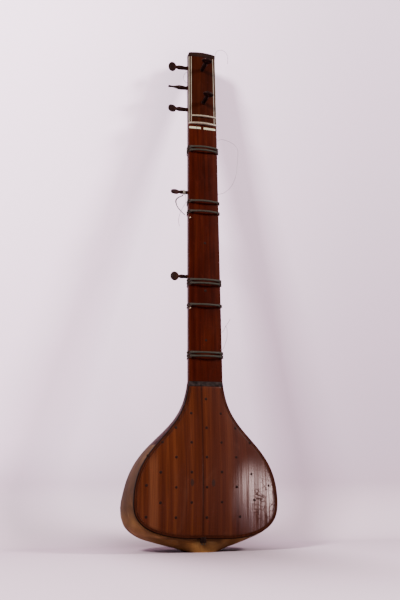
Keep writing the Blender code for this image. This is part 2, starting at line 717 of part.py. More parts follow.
def strip_mesh(name, spans, outer, depth):
    """A thin strip let into the face: spans are (left, right, z), 'outer' is how proud of it it starts."""
    rings = []
    for left, right, z in spans:
        across = [left + (right - left) * k / 4 for k in range(5)]
        top = [Vector((x, face_y(x, z) - outer, z)) for x in across]
        floor = [Vector((x, face_y(x, z) + depth, z)) for x in reversed(across)]
        rings.append(top + floor)
    return loft(name, rings)


def inlay(host, name, spans, finish):
    """Lets a strip into a plate, in a groove with a small gap all round."""
    add(name, strip_mesh(name, spans, 0.0, INLAY_DEPTH), finish, smooth=False)
    low, high = spans[0], spans[-1]
    room = [
        (low[0] - GAP, low[1] + GAP, low[2] - GAP),
        (high[0] - GAP, high[1] + GAP, high[2] + GAP),
    ]
    groove = strip_mesh(name + "_groove", room, 2 * INLAY_DEPTH, INLAY_DEPTH + GAP)
    boolean(host, cutter(name + "_groove", groove))


def corner_strip_mesh(name, side, low, high, width, depth, proud):
    """A strip along one long edge of the face, 'proud' of the face and of the side."""
    rings = []
    for z in (low, high):
        inner = side * (neck_half(z) - width)
        outer = side * (neck_half(z) + proud)
        rings.append([
            Vector((inner, face_y(inner, z) - proud, z)), Vector((outer, -FACE_TO_FOOT - proud, z)),
            Vector((outer, depth - FACE_TO_FOOT, z)), Vector((inner, depth - FACE_TO_FOOT, z)),
        ])
    return loft(name, rings)


def make_head_stripes(head_plate, finish):
    """Bone lines along the head's face: one near each edge, and one that forms the edge itself."""
    low = NUT_Z + NUT_LENGTH / 2 + 3 * GAP
    high = CAP_Z - 3 * GAP
    for name, side in (("head_stripe_left", -1), ("head_stripe_right", 1)):
        spans = []
        for z in (low, high):
            middle = side * (neck_half(z) - STRIPE_INSET)
            spans.append((middle - STRIPE_WIDTH / 2, middle + STRIPE_WIDTH / 2, z))
        inlay(head_plate, name, spans, finish)
        corner_name = name.replace("stripe", "corner_stripe")
        strip = corner_strip_mesh(corner_name, side, low, high, CORNER_STRIPE_WIDTH, CORNER_STRIPE_DEPTH, 0.0)
        add(corner_name, strip, finish, smooth=False)
        rebate = corner_strip_mesh(corner_name, side, low - GAP, high + GAP, CORNER_STRIPE_WIDTH + GAP,
                                   CORNER_STRIPE_DEPTH + GAP, INLAY_DEPTH)
        boolean(head_plate, cutter(corner_name + "_rebate", rebate))


def peg_rings(inside, tip_radius, wall_radius, shape):
    """Sections of a peg along its axis: (place, half width, half thickness). Zero is the outer wall."""
    reach, swell, wide = shape
    head = reach - PEG_HEAD_LENGTH
    return (
        (-inside, tip_radius, tip_radius),
        (-inside * 0.35, (tip_radius + wall_radius) / 2, (tip_radius + wall_radius) / 2),
        (0.0, wall_radius, wall_radius),
        (head * 0.40, swell, swell),
        (head * 0.76, swell * 0.96, swell * 0.96),
        (head * 0.95, swell * 0.80, swell * 0.76),
        (head + PEG_HEAD_LENGTH * 0.05, wide * 0.54, swell * 0.72),
        (head + PEG_HEAD_LENGTH * 0.14, wide * 0.86, swell * 0.62),
        (head + PEG_HEAD_LENGTH * 0.32, wide, swell * 0.46),
        (head + PEG_HEAD_LENGTH * 0.55, wide * 0.97, swell * 0.40),
        (head + PEG_HEAD_LENGTH * 0.74, wide * 0.84, swell * 0.52),
        (head + PEG_HEAD_LENGTH * 0.88, wide * 0.63, swell * 0.82),
        (head + PEG_HEAD_LENGTH * 0.97, wide * 0.40, swell * 0.86),
        (head + PEG_HEAD_LENGTH, wide * 0.24, swell * 0.60),
    )


def peg_mesh(name, inside, shape, sides=12):
    rings = []
    tip = PEG_TIP_BORE / 2 - GAP
    turns = [2 * math.pi * k / sides for k in range(sides)]
    for place, half_width, half_thickness in peg_rings(inside, tip, PEG_BORE / 2 - GAP, shape):
        rings.append([
            Vector((half_width * math.cos(turn), half_thickness * math.sin(turn), place)) for turn in turns
        ])
    return loft(name, rings)


def make_side_pegs(neck, finish):
    """Pegs that pass through the left wall and end in a blind hole in the right wall."""
    to_left = Matrix.Rotation(-math.pi / 2, 4, "Y")
    for name, z, shape, turn in SIDE_PEGS:
        half = neck_half(z)
        place = Vector((-half, PEG_DEPTH - FACE_TO_FOOT, z))
        inside = 2 * half - NECK_WALL + PEG_TIP_DEPTH
        turned = to_left @ Matrix.Rotation(math.radians(turn), 4, "Z")
        add(name, peg_mesh(name, inside, shape), finish, place, turned)
        bore = rod_mesh(name + "_bore", PEG_BORE / 2, -2 * NECK_WALL, NECK_WALL)
        boolean(neck, cutter(name + "_bore", bore, place, to_left))
        blind = rod_mesh(name + "_seat", PEG_TIP_BORE / 2, -inside - GAP, -inside + 2 * NECK_WALL)
        boolean(neck, cutter(name + "_seat", blind, place, to_left))


def make_front_pegs(neck, head_plate, finish):
    """Pegs that pass through the face of the head and end in a blind hole in the neck's back."""
    to_front = Matrix.Rotation(math.pi / 2, 4, "X")
    for name, x, z, turn in FRONT_PEGS:
        place = Vector((x, -FACE_TO_FOOT - PLATE_CROWN, z))
        inside = neck_depth(z) + PLATE_CROWN - NECK_WALL + PEG_TIP_DEPTH
        turned = to_front @ Matrix.Rotation(math.radians(turn - 90), 4, "Z")
        add(name, peg_mesh(name, inside, FRONT_PEG), finish, place, turned)
        bore = rod_mesh(name + "_bore", PEG_BORE / 2, -2 * PLATE_THICKNESS, PLATE_THICKNESS)
        boolean(head_plate, cutter(name + "_bore", bore, place, to_front))
        blind = rod_mesh(name + "_seat", PEG_TIP_BORE / 2, -inside - GAP, -inside + 2 * NECK_WALL)
        boolean(neck, cutter(name + "_seat", blind, place, to_front))


def fret_arc(z):
    """Half span, radius and end depth of a fret's centre line, seated on the edges of the neck's face."""
    span = neck_half(z) - FRET_INSET
    radius = (span ** 2 + FRET_RISE ** 2) / (2 * FRET_RISE)
    slope = math.asin(span / radius)
    seat = PLATE_CROWN * (1 - (span / neck_half(z)) ** 2)
    end = -(FRET_THICKNESS / 2 * math.cos(slope) + GAP + seat + FRET_LIFT)
    return span, radius, end


def make_fret(name, z, finish, stations=11, sides=8):
    """An arched metal bar of oval section, held by its thread. Its origin is on the neck's middle line."""
    span, radius, end = fret_arc(z)
    slope = math.asin(span / radius)
    rings = []
    for k in range(stations):
        angle = slope * (2 * k / (stations - 1) - 1)
        x = radius * math.sin(angle)
        y = end - radius * (math.cos(angle) - math.cos(slope))
        ring = []
        for j in range(sides):
            turn = 2 * math.pi * j / sides
            out = FRET_THICKNESS / 2 * math.cos(turn)
            along = FRET_WIDTH / 2 * math.sin(turn)
            ring.append(Vector((x + out * math.sin(angle), y - out * math.cos(angle), along)))
        rings.append(ring)
    add(name, loft(name, rings), finish, (0, -FACE_TO_FOOT, z))


def tie_route(z):
    """One unbroken thread: over the fret's left end, round the neck, over the right end and back again."""
    off = GAP + TIE_DIAMETER / 2
    beside = FRET_WIDTH / 2 + off
    span, _, end = fret_arc(z)
    over = end - FRET_THICKNESS / 2 - off - TIE_OVER
    hook = span - TIE_HOOK
    side = neck_half(z) + off
    around = [Vector((point.x, point.y + FACE_TO_FOOT, 0)) for point in neck_path(z, off, -0.0012)]
    lead = [Vector((-hook, over, 0)), Vector((-side + 0.0006, over * 0.42, 0))]
    run = lead + around + [Vector((-point.x, point.y, 0)) for point in reversed(lead)]
    upper = [Vector((point.x, point.y, beside)) for point in run]
    lower = [Vector((point.x, point.y, -beside)) for point in reversed(run)]
    crossing = [Vector((hook, over, beside * share)) for share in (0.4, -0.4)]
    closing = [Vector((-hook, over, beside * share)) for share in (-0.4, 0.25)]
    return upper + crossing + lower + closing


def make_tie(name, z, finish):
    points = tie_route(z)
    print(f"{name}: least gap to itself {least_self_gap(points, TIE_DIAMETER, 3) * 1000:.2f} mm")
    tie = tube(name, points, TIE_DIAMETER, finish, 1)
    tie.location = (0, -FACE_TO_FOOT, z)


def make_posts(plate, finish):
    """Two small pins near the left edge of the face, over which the drone strings pass."""
    to_front = Matrix.Rotation(math.pi / 2, 4, "X")
    for name, z in POSTS:
        x = -neck_half(z) + POST_INSET
        place = Vector((x, face_y(x, z), z))
        pin = rod_mesh(name, POST_DIAMETER / 2, -POST_DEPTH, POST_HEIGHT, 12)
        add(name, pin, finish, place, to_front)
        hole = rod_mesh(name + "_hole", POST_DIAMETER / 2 + GAP, -POST_DEPTH - GAP, POST_HEIGHT, 16)
        boolean(plate, cutter(name + "_hole", hole, place, to_front))


def make_hitch(dark):
    """The tail hitch: a block over the soundboard's lower edge, reaching back to the gourd, with two pins."""
    left = HITCH_X - HITCH_WIDTH / 2
    right = HITCH_X + HITCH_WIDTH / 2
    face = face_y(HITCH_X, HITCH_TOP_Z)
    front = face - HITCH_THICKNESS
    shape = box_mesh("tail_hitch", (left, front, HITCH_BOTTOM_Z), (right, face - GAP, HITCH_TOP_Z))
    hitch = add("tail_hitch", shape, dark, smooth=False)
    heel = box_mesh("hitch_heel", (left, front + HITCH_THICKNESS / 2, HITCH_BOTTOM_Z),
                    (right, RIM - GAP - FACE_TO_FOOT, BOARD_BOTTOM_Z - GAP))
    boolean(hitch, cutter("hitch_heel", heel), "UNION")
    for side in (-1, 1):
        pin = rod_mesh("hitch_pin", HITCH_PIN_DIAMETER / 2, -HITCH_PIN_LENGTH, HITCH_PIN_LENGTH / 2, 12)
        place = (HITCH_X + side * HITCH_PIN_SPREAD / 2, front + HITCH_THICKNESS / 2, HITCH_BOTTOM_Z)
        boolean(hitch, cutter(f"hitch_pin_{side + 1}", pin, place), "UNION")


def make_inside(wood):
    """The tail block behind the hitch, and the brace that crosses the soundboard at the shoulder."""
    block = add("tail_block", hollow_mesh("tail_block", GAP / BELLY_Z * 1.4), wood)
    room = box_mesh("tail_block_room", (-TAIL_BLOCK_HALF, RIM + GAP - FACE_TO_FOOT, 0),
                    (TAIL_BLOCK_HALF, RIM + TAIL_BLOCK_DEPTH - FACE_TO_FOOT, TAIL_BLOCK_TOP))
    boolean(block, cutter("tail_block_room", room), "INTERSECT")
    reach = board_half(BRACE_Z) - GOURD_WALL - BRACE_WIDTH
    rings = []
    for k in range(11):
        x = reach * (2 * k / 10 - 1)
        back = RIM + BRACE_DEPTH - FACE_TO_FOOT
        low = BRACE_Z - BRACE_WIDTH / 2
        high = BRACE_Z + BRACE_WIDTH / 2
        rings.append([
            Vector((x, face_y(x, low) + PLATE_THICKNESS + 2 * GAP, low)), Vector((x, back, low)),
            Vector((x, back, high)), Vector((x, face_y(x, high) + PLATE_THICKNESS + 2 * GAP, high)),
        ])
    add("soundboard_brace", loft("soundboard_brace", rings), wood, smooth=False)


def make_wires(steel):
    """Loose ends of broken strings, each one length of wire with its end at the neck's side."""
    for name, route in WIRE_ROUTES.items():
        placed = [(x, depth - FACE_TO_FOOT, z) for x, depth, z in route]
        points, length = smooth_route(placed, 3.0 * WIRE_DIAMETER)
        if len(points) > WIRE_POINTS:
            points, length = smooth_route(placed, length / (WIRE_POINTS - 1))
        print(f"{name}: {length * 1000:.0f} mm long, {len(points)} points")
        tube(name, points, WIRE_DIAMETER, steel, 2)


def winding_centre(turn, place):
    """A point of the winding in world coordinates: 'turn' in radians, 'place' out from the neck's side."""
    name, z, _, _ = SIDE_PEGS[3]
    swell = CHIKARI_PEG_SWELL + 2 * GAP + WIRE_DIAMETER / 2
    return Vector((
        -neck_half(z) - place,
        PEG_DEPTH - FACE_TO_FOOT + swell * math.cos(turn),
        z + swell * math.sin(turn),
    ))


def make_winding(steel):
    """Turns of string on the upper chikari peg, and the loose tail that hangs from them."""
    steps = 24 * WINDING_TURNS
    points = []
    for k in range(steps + 1):
        turns = k / 24
        place = WINDING_START + WINDING_STEP * turns
        points.append(winding_centre(2 * math.pi * turns - math.pi / 2, place))
    gap = least_self_gap(points, WIRE_DIAMETER, 12)
    print(f"chikari_string_winding: least gap to itself {gap * 1000:.2f} mm")
    tube("chikari_string_winding", points, WIRE_DIAMETER, steel, 1)
    beside = ((WIRE_DIAMETER + TAIL_DIAMETER) / 2 + GAP) * 1.05
    loose = (
        ("chikari_string_tail", points[-1] + Vector((0, beside, 0)), TAIL_ROUTE, TAIL_DIAMETER),
        ("chikari_string_strand", points[0] - Vector((0, beside, 0)), STRAND_ROUTE, WIRE_DIAMETER),
    )
    for name, start, steps, diameter in loose:
        route, length = smooth_route([start + Vector(step) for step in steps], 3.0 * WIRE_DIAMETER)
        print(f"{name}: {length * 1000:.0f} mm long, {len(route)} points")
        tube(name, route, diameter, steel, 2)


def main():
    clear_scene()
    Bench.pieces = collection("surbahar")
    Bench.cutters = collection("cutters")

    gourd = material("gourd", (0.34, 0.20, 0.09), 0.55)
    neck_wood = material("neck_wood", (0.10, 0.022, 0.010), 0.30)
    board_wood = material("board_wood", (0.22, 0.065, 0.025), 0.35)
    binding = material("binding", (0.07, 0.022, 0.012), 0.40)
    ebony = material("ebony", (0.016, 0.010, 0.009), 0.40)
    bone = material("bone", (0.62, 0.54, 0.38), 0.45)
    aged_bone = material("aged_bone", (0.28, 0.22, 0.13), 0.50)
    brass = material("fret_brass", (0.10, 0.085, 0.06), 0.45, 0.9)
    thread = material("tie_thread", (0.035, 0.025, 0.020), 0.80)
    steel = material("steel_wire", (0.45, 0.42, 0.38), 0.35, 1.0)

    body = make_gourd(gourd)
    open_front(body)
    shoulder = make_shoulder(neck_wood)
    open_front(shoulder)
    neck = make_neck(neck_wood)
    make_boards(board_wood, board_wood, binding)
    face_plate("joint_band", BAND_Z + GAP, NECK_BOTTOM_Z - GAP, ebony, half=board_half)

    nut_low = NUT_Z - NUT_LENGTH / 2
    nut_high = NUT_Z + NUT_LENGTH / 2
    neck_plate = solid_plate("neck_plate", NECK_BOTTOM_Z, nut_low - GAP, neck_wood)
    head_plate = solid_plate("head_plate", nut_high + GAP, CAP_Z - GAP, neck_wood)
    make_head_cap(ebony)
    arched_bar("nut", NUT_Z, NUT_LENGTH, -neck_half(NUT_Z), neck_half(NUT_Z), lambda x: PLATE_THICKNESS,
               NUT_STAND, NUT_RISE, bone)
    guide_z = NUT_Z + GUIDE_FROM_NUT
    arched_bar("string_guide", guide_z, GUIDE_LENGTH, GUIDE_LEFT, neck_half(guide_z),
               lambda x: face_y(x, guide_z) + FACE_TO_FOOT - GAP, GUIDE_STAND, GUIDE_RISE, bone)
    band_low = NUT_Z - INLAY_FROM_NUT
    for name, left, right in INLAY_SPANS:
        inlay(neck_plate, name, [(left, right, band_low), (left, right, band_low + INLAY_BAND_HEIGHT)], bone)
    make_head_stripes(head_plate, aged_bone)

    make_side_pegs(neck, ebony)
    make_front_pegs(neck, head_plate, ebony)
    for name, z in FRETS:
        make_fret(name, z, brass)
        make_tie(name.replace("fret", "tie"), z, thread)
    make_posts(neck_plate, bone)
    make_hitch(ebony)
    make_inside(board_wood)
    make_wires(steel)
    make_winding(steel)


main()
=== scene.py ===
# %% [markdown]
# This lesson dresses a surbahar, a large bass lute. A dried gourd carries a domed wooden soundboard,
# and a long hollow neck carries arched frets that are tied on with thread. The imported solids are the
# frame: every finer piece made here lies where its solid lies, and moves with the same body.

import json
import math

import bmesh
import bpy
import numpy as np
from mathutils import Matrix, Vector, noise


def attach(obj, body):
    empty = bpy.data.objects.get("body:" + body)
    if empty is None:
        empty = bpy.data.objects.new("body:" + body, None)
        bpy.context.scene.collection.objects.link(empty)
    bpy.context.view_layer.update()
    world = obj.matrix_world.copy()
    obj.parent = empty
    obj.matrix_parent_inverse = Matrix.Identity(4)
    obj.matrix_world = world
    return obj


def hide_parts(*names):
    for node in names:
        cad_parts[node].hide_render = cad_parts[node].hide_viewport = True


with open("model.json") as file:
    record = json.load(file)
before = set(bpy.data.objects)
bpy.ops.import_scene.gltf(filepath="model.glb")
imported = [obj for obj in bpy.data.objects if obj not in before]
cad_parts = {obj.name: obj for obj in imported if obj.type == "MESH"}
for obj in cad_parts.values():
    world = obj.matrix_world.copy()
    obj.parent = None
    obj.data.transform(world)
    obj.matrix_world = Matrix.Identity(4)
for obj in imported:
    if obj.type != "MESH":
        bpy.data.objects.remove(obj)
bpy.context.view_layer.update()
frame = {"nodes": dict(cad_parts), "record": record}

# %% [markdown]
# The camera stands a hand's width over the floor and a little to the left, and looks up along the
# neck. Its place was worked out from the outline of the neck and the rows of dots on the soundboard.
# A camera looks along its own -Z, so its matrix is put together from three directions.

# %% Camera
CAMERA_PLACE = Vector((-0.5482, -1.9358, 0.1354))
CAMERA_YAW, CAMERA_PITCH, CAMERA_ROLL = (math.radians(v) for v in (15.896, 13.61, -0.619))
forward = Vector((
    math.sin(CAMERA_YAW) * math.cos(CAMERA_PITCH), math.cos(CAMERA_YAW) * math.cos(CAMERA_PITCH),
    math.sin(CAMERA_PITCH),
))
level = forward.cross(Vector((0, 0, 1))).normalized()
above = level.cross(forward)
right = math.cos(CAMERA_ROLL) * level + math.sin(CAMERA_ROLL) * above
up = -math.sin(CAMERA_ROLL) * level + math.cos(CAMERA_ROLL) * above
camera = bpy.data.objects.new("camera", bpy.data.cameras.new("camera"))
camera.data.lens = 47.96
camera.data.sensor_width = 36.0
camera.matrix_world = Matrix.Translation(CAMERA_PLACE) @ Matrix(
    ((right.x, up.x, -forward.x), (right.y, up.y, -forward.y), (right.z, up.z, -forward.z))
).to_4x4()
bpy.context.scene.collection.objects.link(camera)
bpy.context.scene.camera = camera
print("camera at", [round(v, 3) for v in CAMERA_PLACE])

# %% [markdown]
# The neck and the soundboard follow a few rules: widths and depths that run evenly from the dark band
# to the top of the head, and a flare below it. The same rules shape the solids, so they are written
# here again and every later piece is measured with them.

# %% Rules of the neck
GAP = 0.0003
FACE_TO_FOOT = 0.056            # from the face of the neck back to the middle of the foot
NECK_BOTTOM_Z, TOTAL_HEIGHT, NUT_Z, CAP_Z = 0.403, 1.300, 1.0905, 1.288
NECK_LENGTH = NUT_Z - NECK_BOTTOM_Z
PLATE_THICKNESS, PLATE_CROWN = 0.0050, 0.0020
RIM = PLATE_THICKNESS + GAP     # depth of the edge that the face plates sit on
ROUND_POWER = 2.2               # squareness of the back of each level section


def neck_share(z):
    return (z - NECK_BOTTOM_Z) / (TOTAL_HEIGHT - NECK_BOTTOM_Z)


def neck_half(z):
    return 0.0432 + (0.0367 - 0.0432) * neck_share(z)


def neck_depth(z):
    return 0.050 + (0.044 - 0.050) * neck_share(z)


def neck_widest(z):
    return 0.0100 + (0.0144 - 0.0100) * neck_share(z)


def moved_out(path, out):
    """An open path of 2D points moved to its left by 'out', with its corners kept sharp."""
    moved = []
    for i, point in enumerate(path):
        before = (point - path[max(0, i - 1)]).normalized()
        after = (path[min(len(path) - 1, i + 1)] - point).normalized()
        before = before if before.length else after
        after = after if after.length else before
        normal = Vector((-before.y - after.y, before.x + after.x)).normalized()
        corner = normal.dot(Vector((-before.y, before.x)))
        moved.append(point + normal * out / corner)
    return moved


def neck_path(z, out=0.0, start_depth=RIM, steps=40):
    """The U of the neck's outside, from its left front edge round the back, 'out' metres off it."""
    half, widest = neck_half(z), neck_widest(z)
    path = [Vector((-half, start_depth))]
    for k in range(steps + 1):
        turn = math.pi * (1 - k / steps)
        x = math.copysign(abs(math.cos(turn)) ** (2 / ROUND_POWER), math.cos(turn))
        y = abs(math.sin(turn)) ** (2 / ROUND_POWER)
        path.append(Vector((half * x, widest + (neck_depth(z) - widest) * y)))
    path.append(Vector((half, start_depth)))
    return [Vector((point.x, point.y - FACE_TO_FOOT, z)) for point in moved_out(path, out)]


print("neck at the nut:", round(2000 * neck_half(NUT_Z), 1), "mm wide")

# %% [markdown]
# A material here is a small tree of nodes that ends in one shader. Each tree reads the object
# coordinates, so grain and wear run along the piece and stay with it when it moves. This helper keeps
# the trees short: each of its methods adds one node and gives back the socket that holds its result.


# %% A helper for finishes
class Finish:
    """A material's node tree, with short ways to add and join nodes."""

    def __init__(self, name):
        self.material = bpy.data.materials.new(name)
        self.material.use_nodes = True
        self.tree = self.material.node_tree
        self.shader = self.tree.nodes["Principled BSDF"]
        self.coordinates = self.tree.nodes.new("ShaderNodeTexCoord").outputs["Object"]

    def put(self, target, value):
        if isinstance(value, bpy.types.NodeSocket):
            self.tree.links.new(value, target)
        elif hasattr(value, "__len__") and len(value) == 3 and target.type == "RGBA":
            target.default_value = (*value, 1.0)
        else:
            target.default_value = value

    def node(self, kind, output, settings=None, **inputs):
        made = self.tree.nodes.new(kind)
        for key, value in (settings or {}).items():
            setattr(made, key, value)
        for key, value in inputs.items():
            self.put(made.inputs[key], value)
        return made.outputs[output]

    def stretched(self, scale, place=(0, 0, 0)):
        made = self.tree.nodes.new("ShaderNodeMapping")
        self.tree.links.new(self.coordinates, made.inputs["Vector"])
        made.inputs["Scale"].default_value = scale
        made.inputs["Location"].default_value = place
        return made.outputs["Vector"]

    def noise(self, scale, detail=3.0, stretch=(1, 1, 1), distortion=0.0, roughness=0.5, place=(0, 0, 0)):
        return self.node(
            "ShaderNodeTexNoise", "Fac", Vector=self.stretched(stretch, place), Scale=scale, Detail=detail,
            Distortion=distortion, Roughness=roughness,
        )

    def cells(self, scale, stretch=(1, 1, 1)):
        """Distance to the nearest border of a network of cells, for cracks in old varnish."""
        return self.node("ShaderNodeTexVoronoi", "Distance", {"feature": "DISTANCE_TO_EDGE"},
                         Vector=self.stretched(stretch), Scale=scale)

    def ramp(self, value, *stops):
        made = self.tree.nodes.new("ShaderNodeValToRGB")
        points = made.color_ramp.elements
        while len(points) < len(stops):
            points.new(0.5)
        for point, (place, colour) in zip(points, stops):
            point.position = place
            point.color = (*colour, 1.0) if hasattr(colour, "__len__") else (colour, colour, colour, 1.0)
        self.tree.links.new(value, made.inputs["Fac"])
        return made.outputs["Color"]

    def mix(self, share, a, b, blend="MIX"):
        made = self.tree.nodes.new("ShaderNodeMix")
        made.data_type = "RGBA"
        made.blend_type = blend
        self.put(made.inputs[0], share)
        self.put(made.inputs[6], a)
        self.put(made.inputs[7], b)
        return made.outputs[2]

    def math(self, operation, a, b=0.0, c=0.0):
        made = self.tree.nodes.new("ShaderNodeMath")
        made.operation = operation
        for socket, value in zip(made.inputs, (a, b, c)):
            self.put(socket, value)
        return made.outputs[0]

    def axis(self, name):
        made = self.tree.nodes.new("ShaderNodeSeparateXYZ")
        self.tree.links.new(self.coordinates, made.inputs[0])
        return made.outputs[name]

    def marked(self, name):
        """A number that was stored on the mesh's points, such as the distance to an edge."""
        made = self.tree.nodes.new("ShaderNodeAttribute")
        made.attribute_name = name
        return made.outputs["Fac"]

    def spread(self, value, low, high, to_low=0.0, to_high=1.0):
        made = self.tree.nodes.new("ShaderNodeMapRange")
        made.interpolation_type = "SMOOTHSTEP"
        self.tree.links.new(value, made.inputs["Value"])
        for key, number in (("From Min", low), ("From Max", high), ("To Min", to_low), ("To Max", to_high)):
            made.inputs[key].default_value = number
        return made.outputs["Result"]

    def spot(self, x, z, half_width, half_height, soft=0.5):
        """One inside an upright oval on the face, nothing outside it, with a soft edge."""
        across = self.math("DIVIDE", self.math("SUBTRACT", self.axis("X"), x), half_width)
        along = self.math("DIVIDE", self.math("SUBTRACT", self.axis("Z"), z), half_height)
        far = self.math("ADD", self.math("MULTIPLY", across, across), self.math("MULTIPLY", along, along))
        return self.spread(far, 1.0 - soft, 1.0 + soft, 1.0, 0.0)

    def bump(self, height, distance, strength=0.6):
        made = self.node("ShaderNodeBump", "Normal", Height=height, Distance=distance, Strength=strength)
        self.put(self.shader.inputs["Normal"], made)

    def finish(self, colour, roughness, metallic=0.0, coat=0.0, coat_roughness=0.1, specular=0.5):
        self.put(self.shader.inputs["Base Color"], colour)
        self.put(self.shader.inputs["Roughness"], roughness)
        self.shader.inputs["Metallic"].default_value = metallic
        root = math.sqrt(0.08 * specular)
        self.shader.inputs["IOR"].default_value = (1 + root) / (1 - root)
        self.put(self.shader.inputs["Coat Weight"], coat)
        self.shader.inputs["Coat Roughness"].default_value = coat_roughness
        return self.material


def patchy(name, dark, light, scale, roughness, metallic=0.0, coat=0.0, stretch=(1, 1, 1), depth=0.0001,
           specular=0.25):
    """A finish with soft patches and fine marks between two colours."""
    n = Finish(name)
    patches = n.noise(scale, 4, stretch, 0.5)
    fine = n.noise(scale * 9, 3, stretch)
    colour = n.mix(patches, dark, light)
    colour = n.mix(n.ramp(fine, (0.55, 0.0), (0.80, 0.5)), colour, tuple(0.45 * v for v in dark))
    n.bump(fine, depth, 0.5)
    rough = n.ramp(patches, (0.3, roughness * 0.8), (0.8, min(1.0, roughness * 1.3)))
    return n.finish(colour, rough, metallic, coat, 0.2, specular)


print("helper for finishes ready")

# %% [markdown]
# Every finished piece goes through one function, which gives it its material and its body and hides the
# solids that it stands for. Another one closes a mesh: it merges doubled points, turns the faces
# outwards, keeps the sharp corners sharp and counts edges that don't join two faces.

# %% Helpers for pieces
ROOT = "instrument"
bodies = {node: body for body, nodes in frame["record"]["behaviour"]["bodies"].items() for node in nodes}


def placed(piece, finish, *nodes, body=None, slot=None):
    piece.data.materials.clear()
    piece.data.materials.append(finish)
    if piece.name not in bpy.context.scene.collection.objects:
        bpy.context.scene.collection.objects.link(piece)
    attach(piece, body or bodies[nodes[0]])
    if nodes:
        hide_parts(*nodes)
    return piece


def closed_piece(name, work, crease=35):
    """A new object from a filled bmesh, which is used up."""
    bmesh.ops.remove_doubles(work, verts=work.verts, dist=2e-6)
    bmesh.ops.dissolve_degenerate(work, edges=work.edges, dist=1e-7)
    bmesh.ops.recalc_face_normals(work, faces=work.faces)
    open_edges = sum(1 for edge in work.edges if len(edge.link_faces) != 2)
    mesh = bpy.data.meshes.new(name)
    work.to_mesh(mesh)
    work.free()
    mesh.shade_smooth()
    mesh.set_sharp_from_angle(angle=math.radians(crease))
    print(f"{name}: {len(mesh.polygons)} faces, {open_edges} open edges")
    return bpy.data.objects.new(name, mesh)


def loft(work, rings):
    """A closed skin through rings of equally many points, with a face on each end."""
    rows = [[work.verts.new(point) for point in ring] for ring in rings]
    count = len(rows[0])
    for low, high in zip(rows, rows[1:]):
        for k in range(count):
            work.faces.new((low[k], low[(k + 1) % count], high[(k + 1) % count], high[k]))
    work.faces.new(list(reversed(rows[0])))
    work.faces.new(rows[-1])


def lofted(name, rings, crease=35):
    work = bmesh.new()
    loft(work, rings)
    return closed_piece(name, work, crease)


def worked(piece, cuts=(), wall=0.0, bevel=0.0, crease=35):
    """Gives a surface its wall, cuts shapes out of it and softens its edges, as one plain mesh."""
    name = piece.name
    bpy.context.scene.collection.objects.link(piece)
    if wall:
        step = piece.modifiers.new("wall", "SOLIDIFY")
        step.thickness = wall
        step.offset = -1.0
    for tool in cuts:
        bpy.context.scene.collection.objects.link(tool)
        step = piece.modifiers.new("cut", "BOOLEAN")
        step.operation = "DIFFERENCE"
        step.solver = "EXACT"
        step.object = tool
    if bevel:
        step = piece.modifiers.new("edge", "BEVEL")
        step.width = bevel
        step.segments = 2
        step.limit_method = "ANGLE"
        step.angle_limit = math.radians(40)
    made = bpy.data.meshes.new_from_object(piece.evaluated_get(bpy.context.evaluated_depsgraph_get()))
    for used in (piece, *cuts):
        bpy.data.objects.remove(used)
    work = bmesh.new()
    work.from_mesh(made)
    bpy.data.meshes.remove(made)
    return closed_piece(name, work, crease)


def rod(work, radius, start, end, matrix, sides=40):
    made = bmesh.ops.create_cone(work, cap_ends=True, segments=sides, radius1=radius, radius2=radius,
                                 depth=end - start)
    bmesh.ops.transform(work, verts=made["verts"], matrix=matrix @ Matrix.Translation((0, 0, (start + end) / 2)))


# %% [markdown]
# The loose ends of broken strings come straight after the camera. On the real instrument they are
# springy steel wires, so a round curve along a given route stands for each. The route is the
# one that the solid follows, and the steel is dull and dark, as old wire is.

# %% Loose strings
WIRE_DIAMETER = 0.0009
steel = patchy("old_steel", (0.05, 0.045, 0.042), (0.14, 0.125, 0.115), 200, 0.42, metallic=0.8)


def smooth_route(points, count):
    """Evenly spaced points on a smooth curve through a route's own points, and its length."""
    route = [Vector(point) for point in points]
    fine = []
    for i in range(len(route) - 1):
        before, after = route[max(0, i - 1)], route[min(len(route) - 1, i + 2)]
        a, b = route[i], route[i + 1]
        for k in range(20):
            t = k / 20
            fine.append(0.5 * ((2 * a) + (b - before) * t + (2 * before - 5 * a + 4 * b - after) * t * t
                               + (3 * a - before - 3 * b + after) * t ** 3))
    fine.append(route[-1])
    lengths = np.concatenate(([0.0], np.cumsum([(b - a).length for a, b in zip(fine, fine[1:])])))
    found = []
    for target in np.linspace(0.0, lengths[-1], count + 1):
        i = min(int(np.searchsorted(lengths, target, side="right")) - 1, len(fine) - 2)
        found.append(fine[i].lerp(fine[i + 1], (target - lengths[i]) / (lengths[i + 1] - lengths[i])))
    return found, float(lengths[-1])


def tube(name, points, diameter):
    curve = bpy.data.curves.new(name, "CURVE")
    curve.dimensions = "3D"
    curve.bevel_depth = diameter / 2
    curve.bevel_resolution = 3
    curve.use_fill_caps = True
    spline = curve.splines.new("POLY")
    spline.points.add(len(points) - 1)
    for place, point in zip(spline.points, points):
        place.co = (*point, 1.0)
    return bpy.data.objects.new(name, curve)


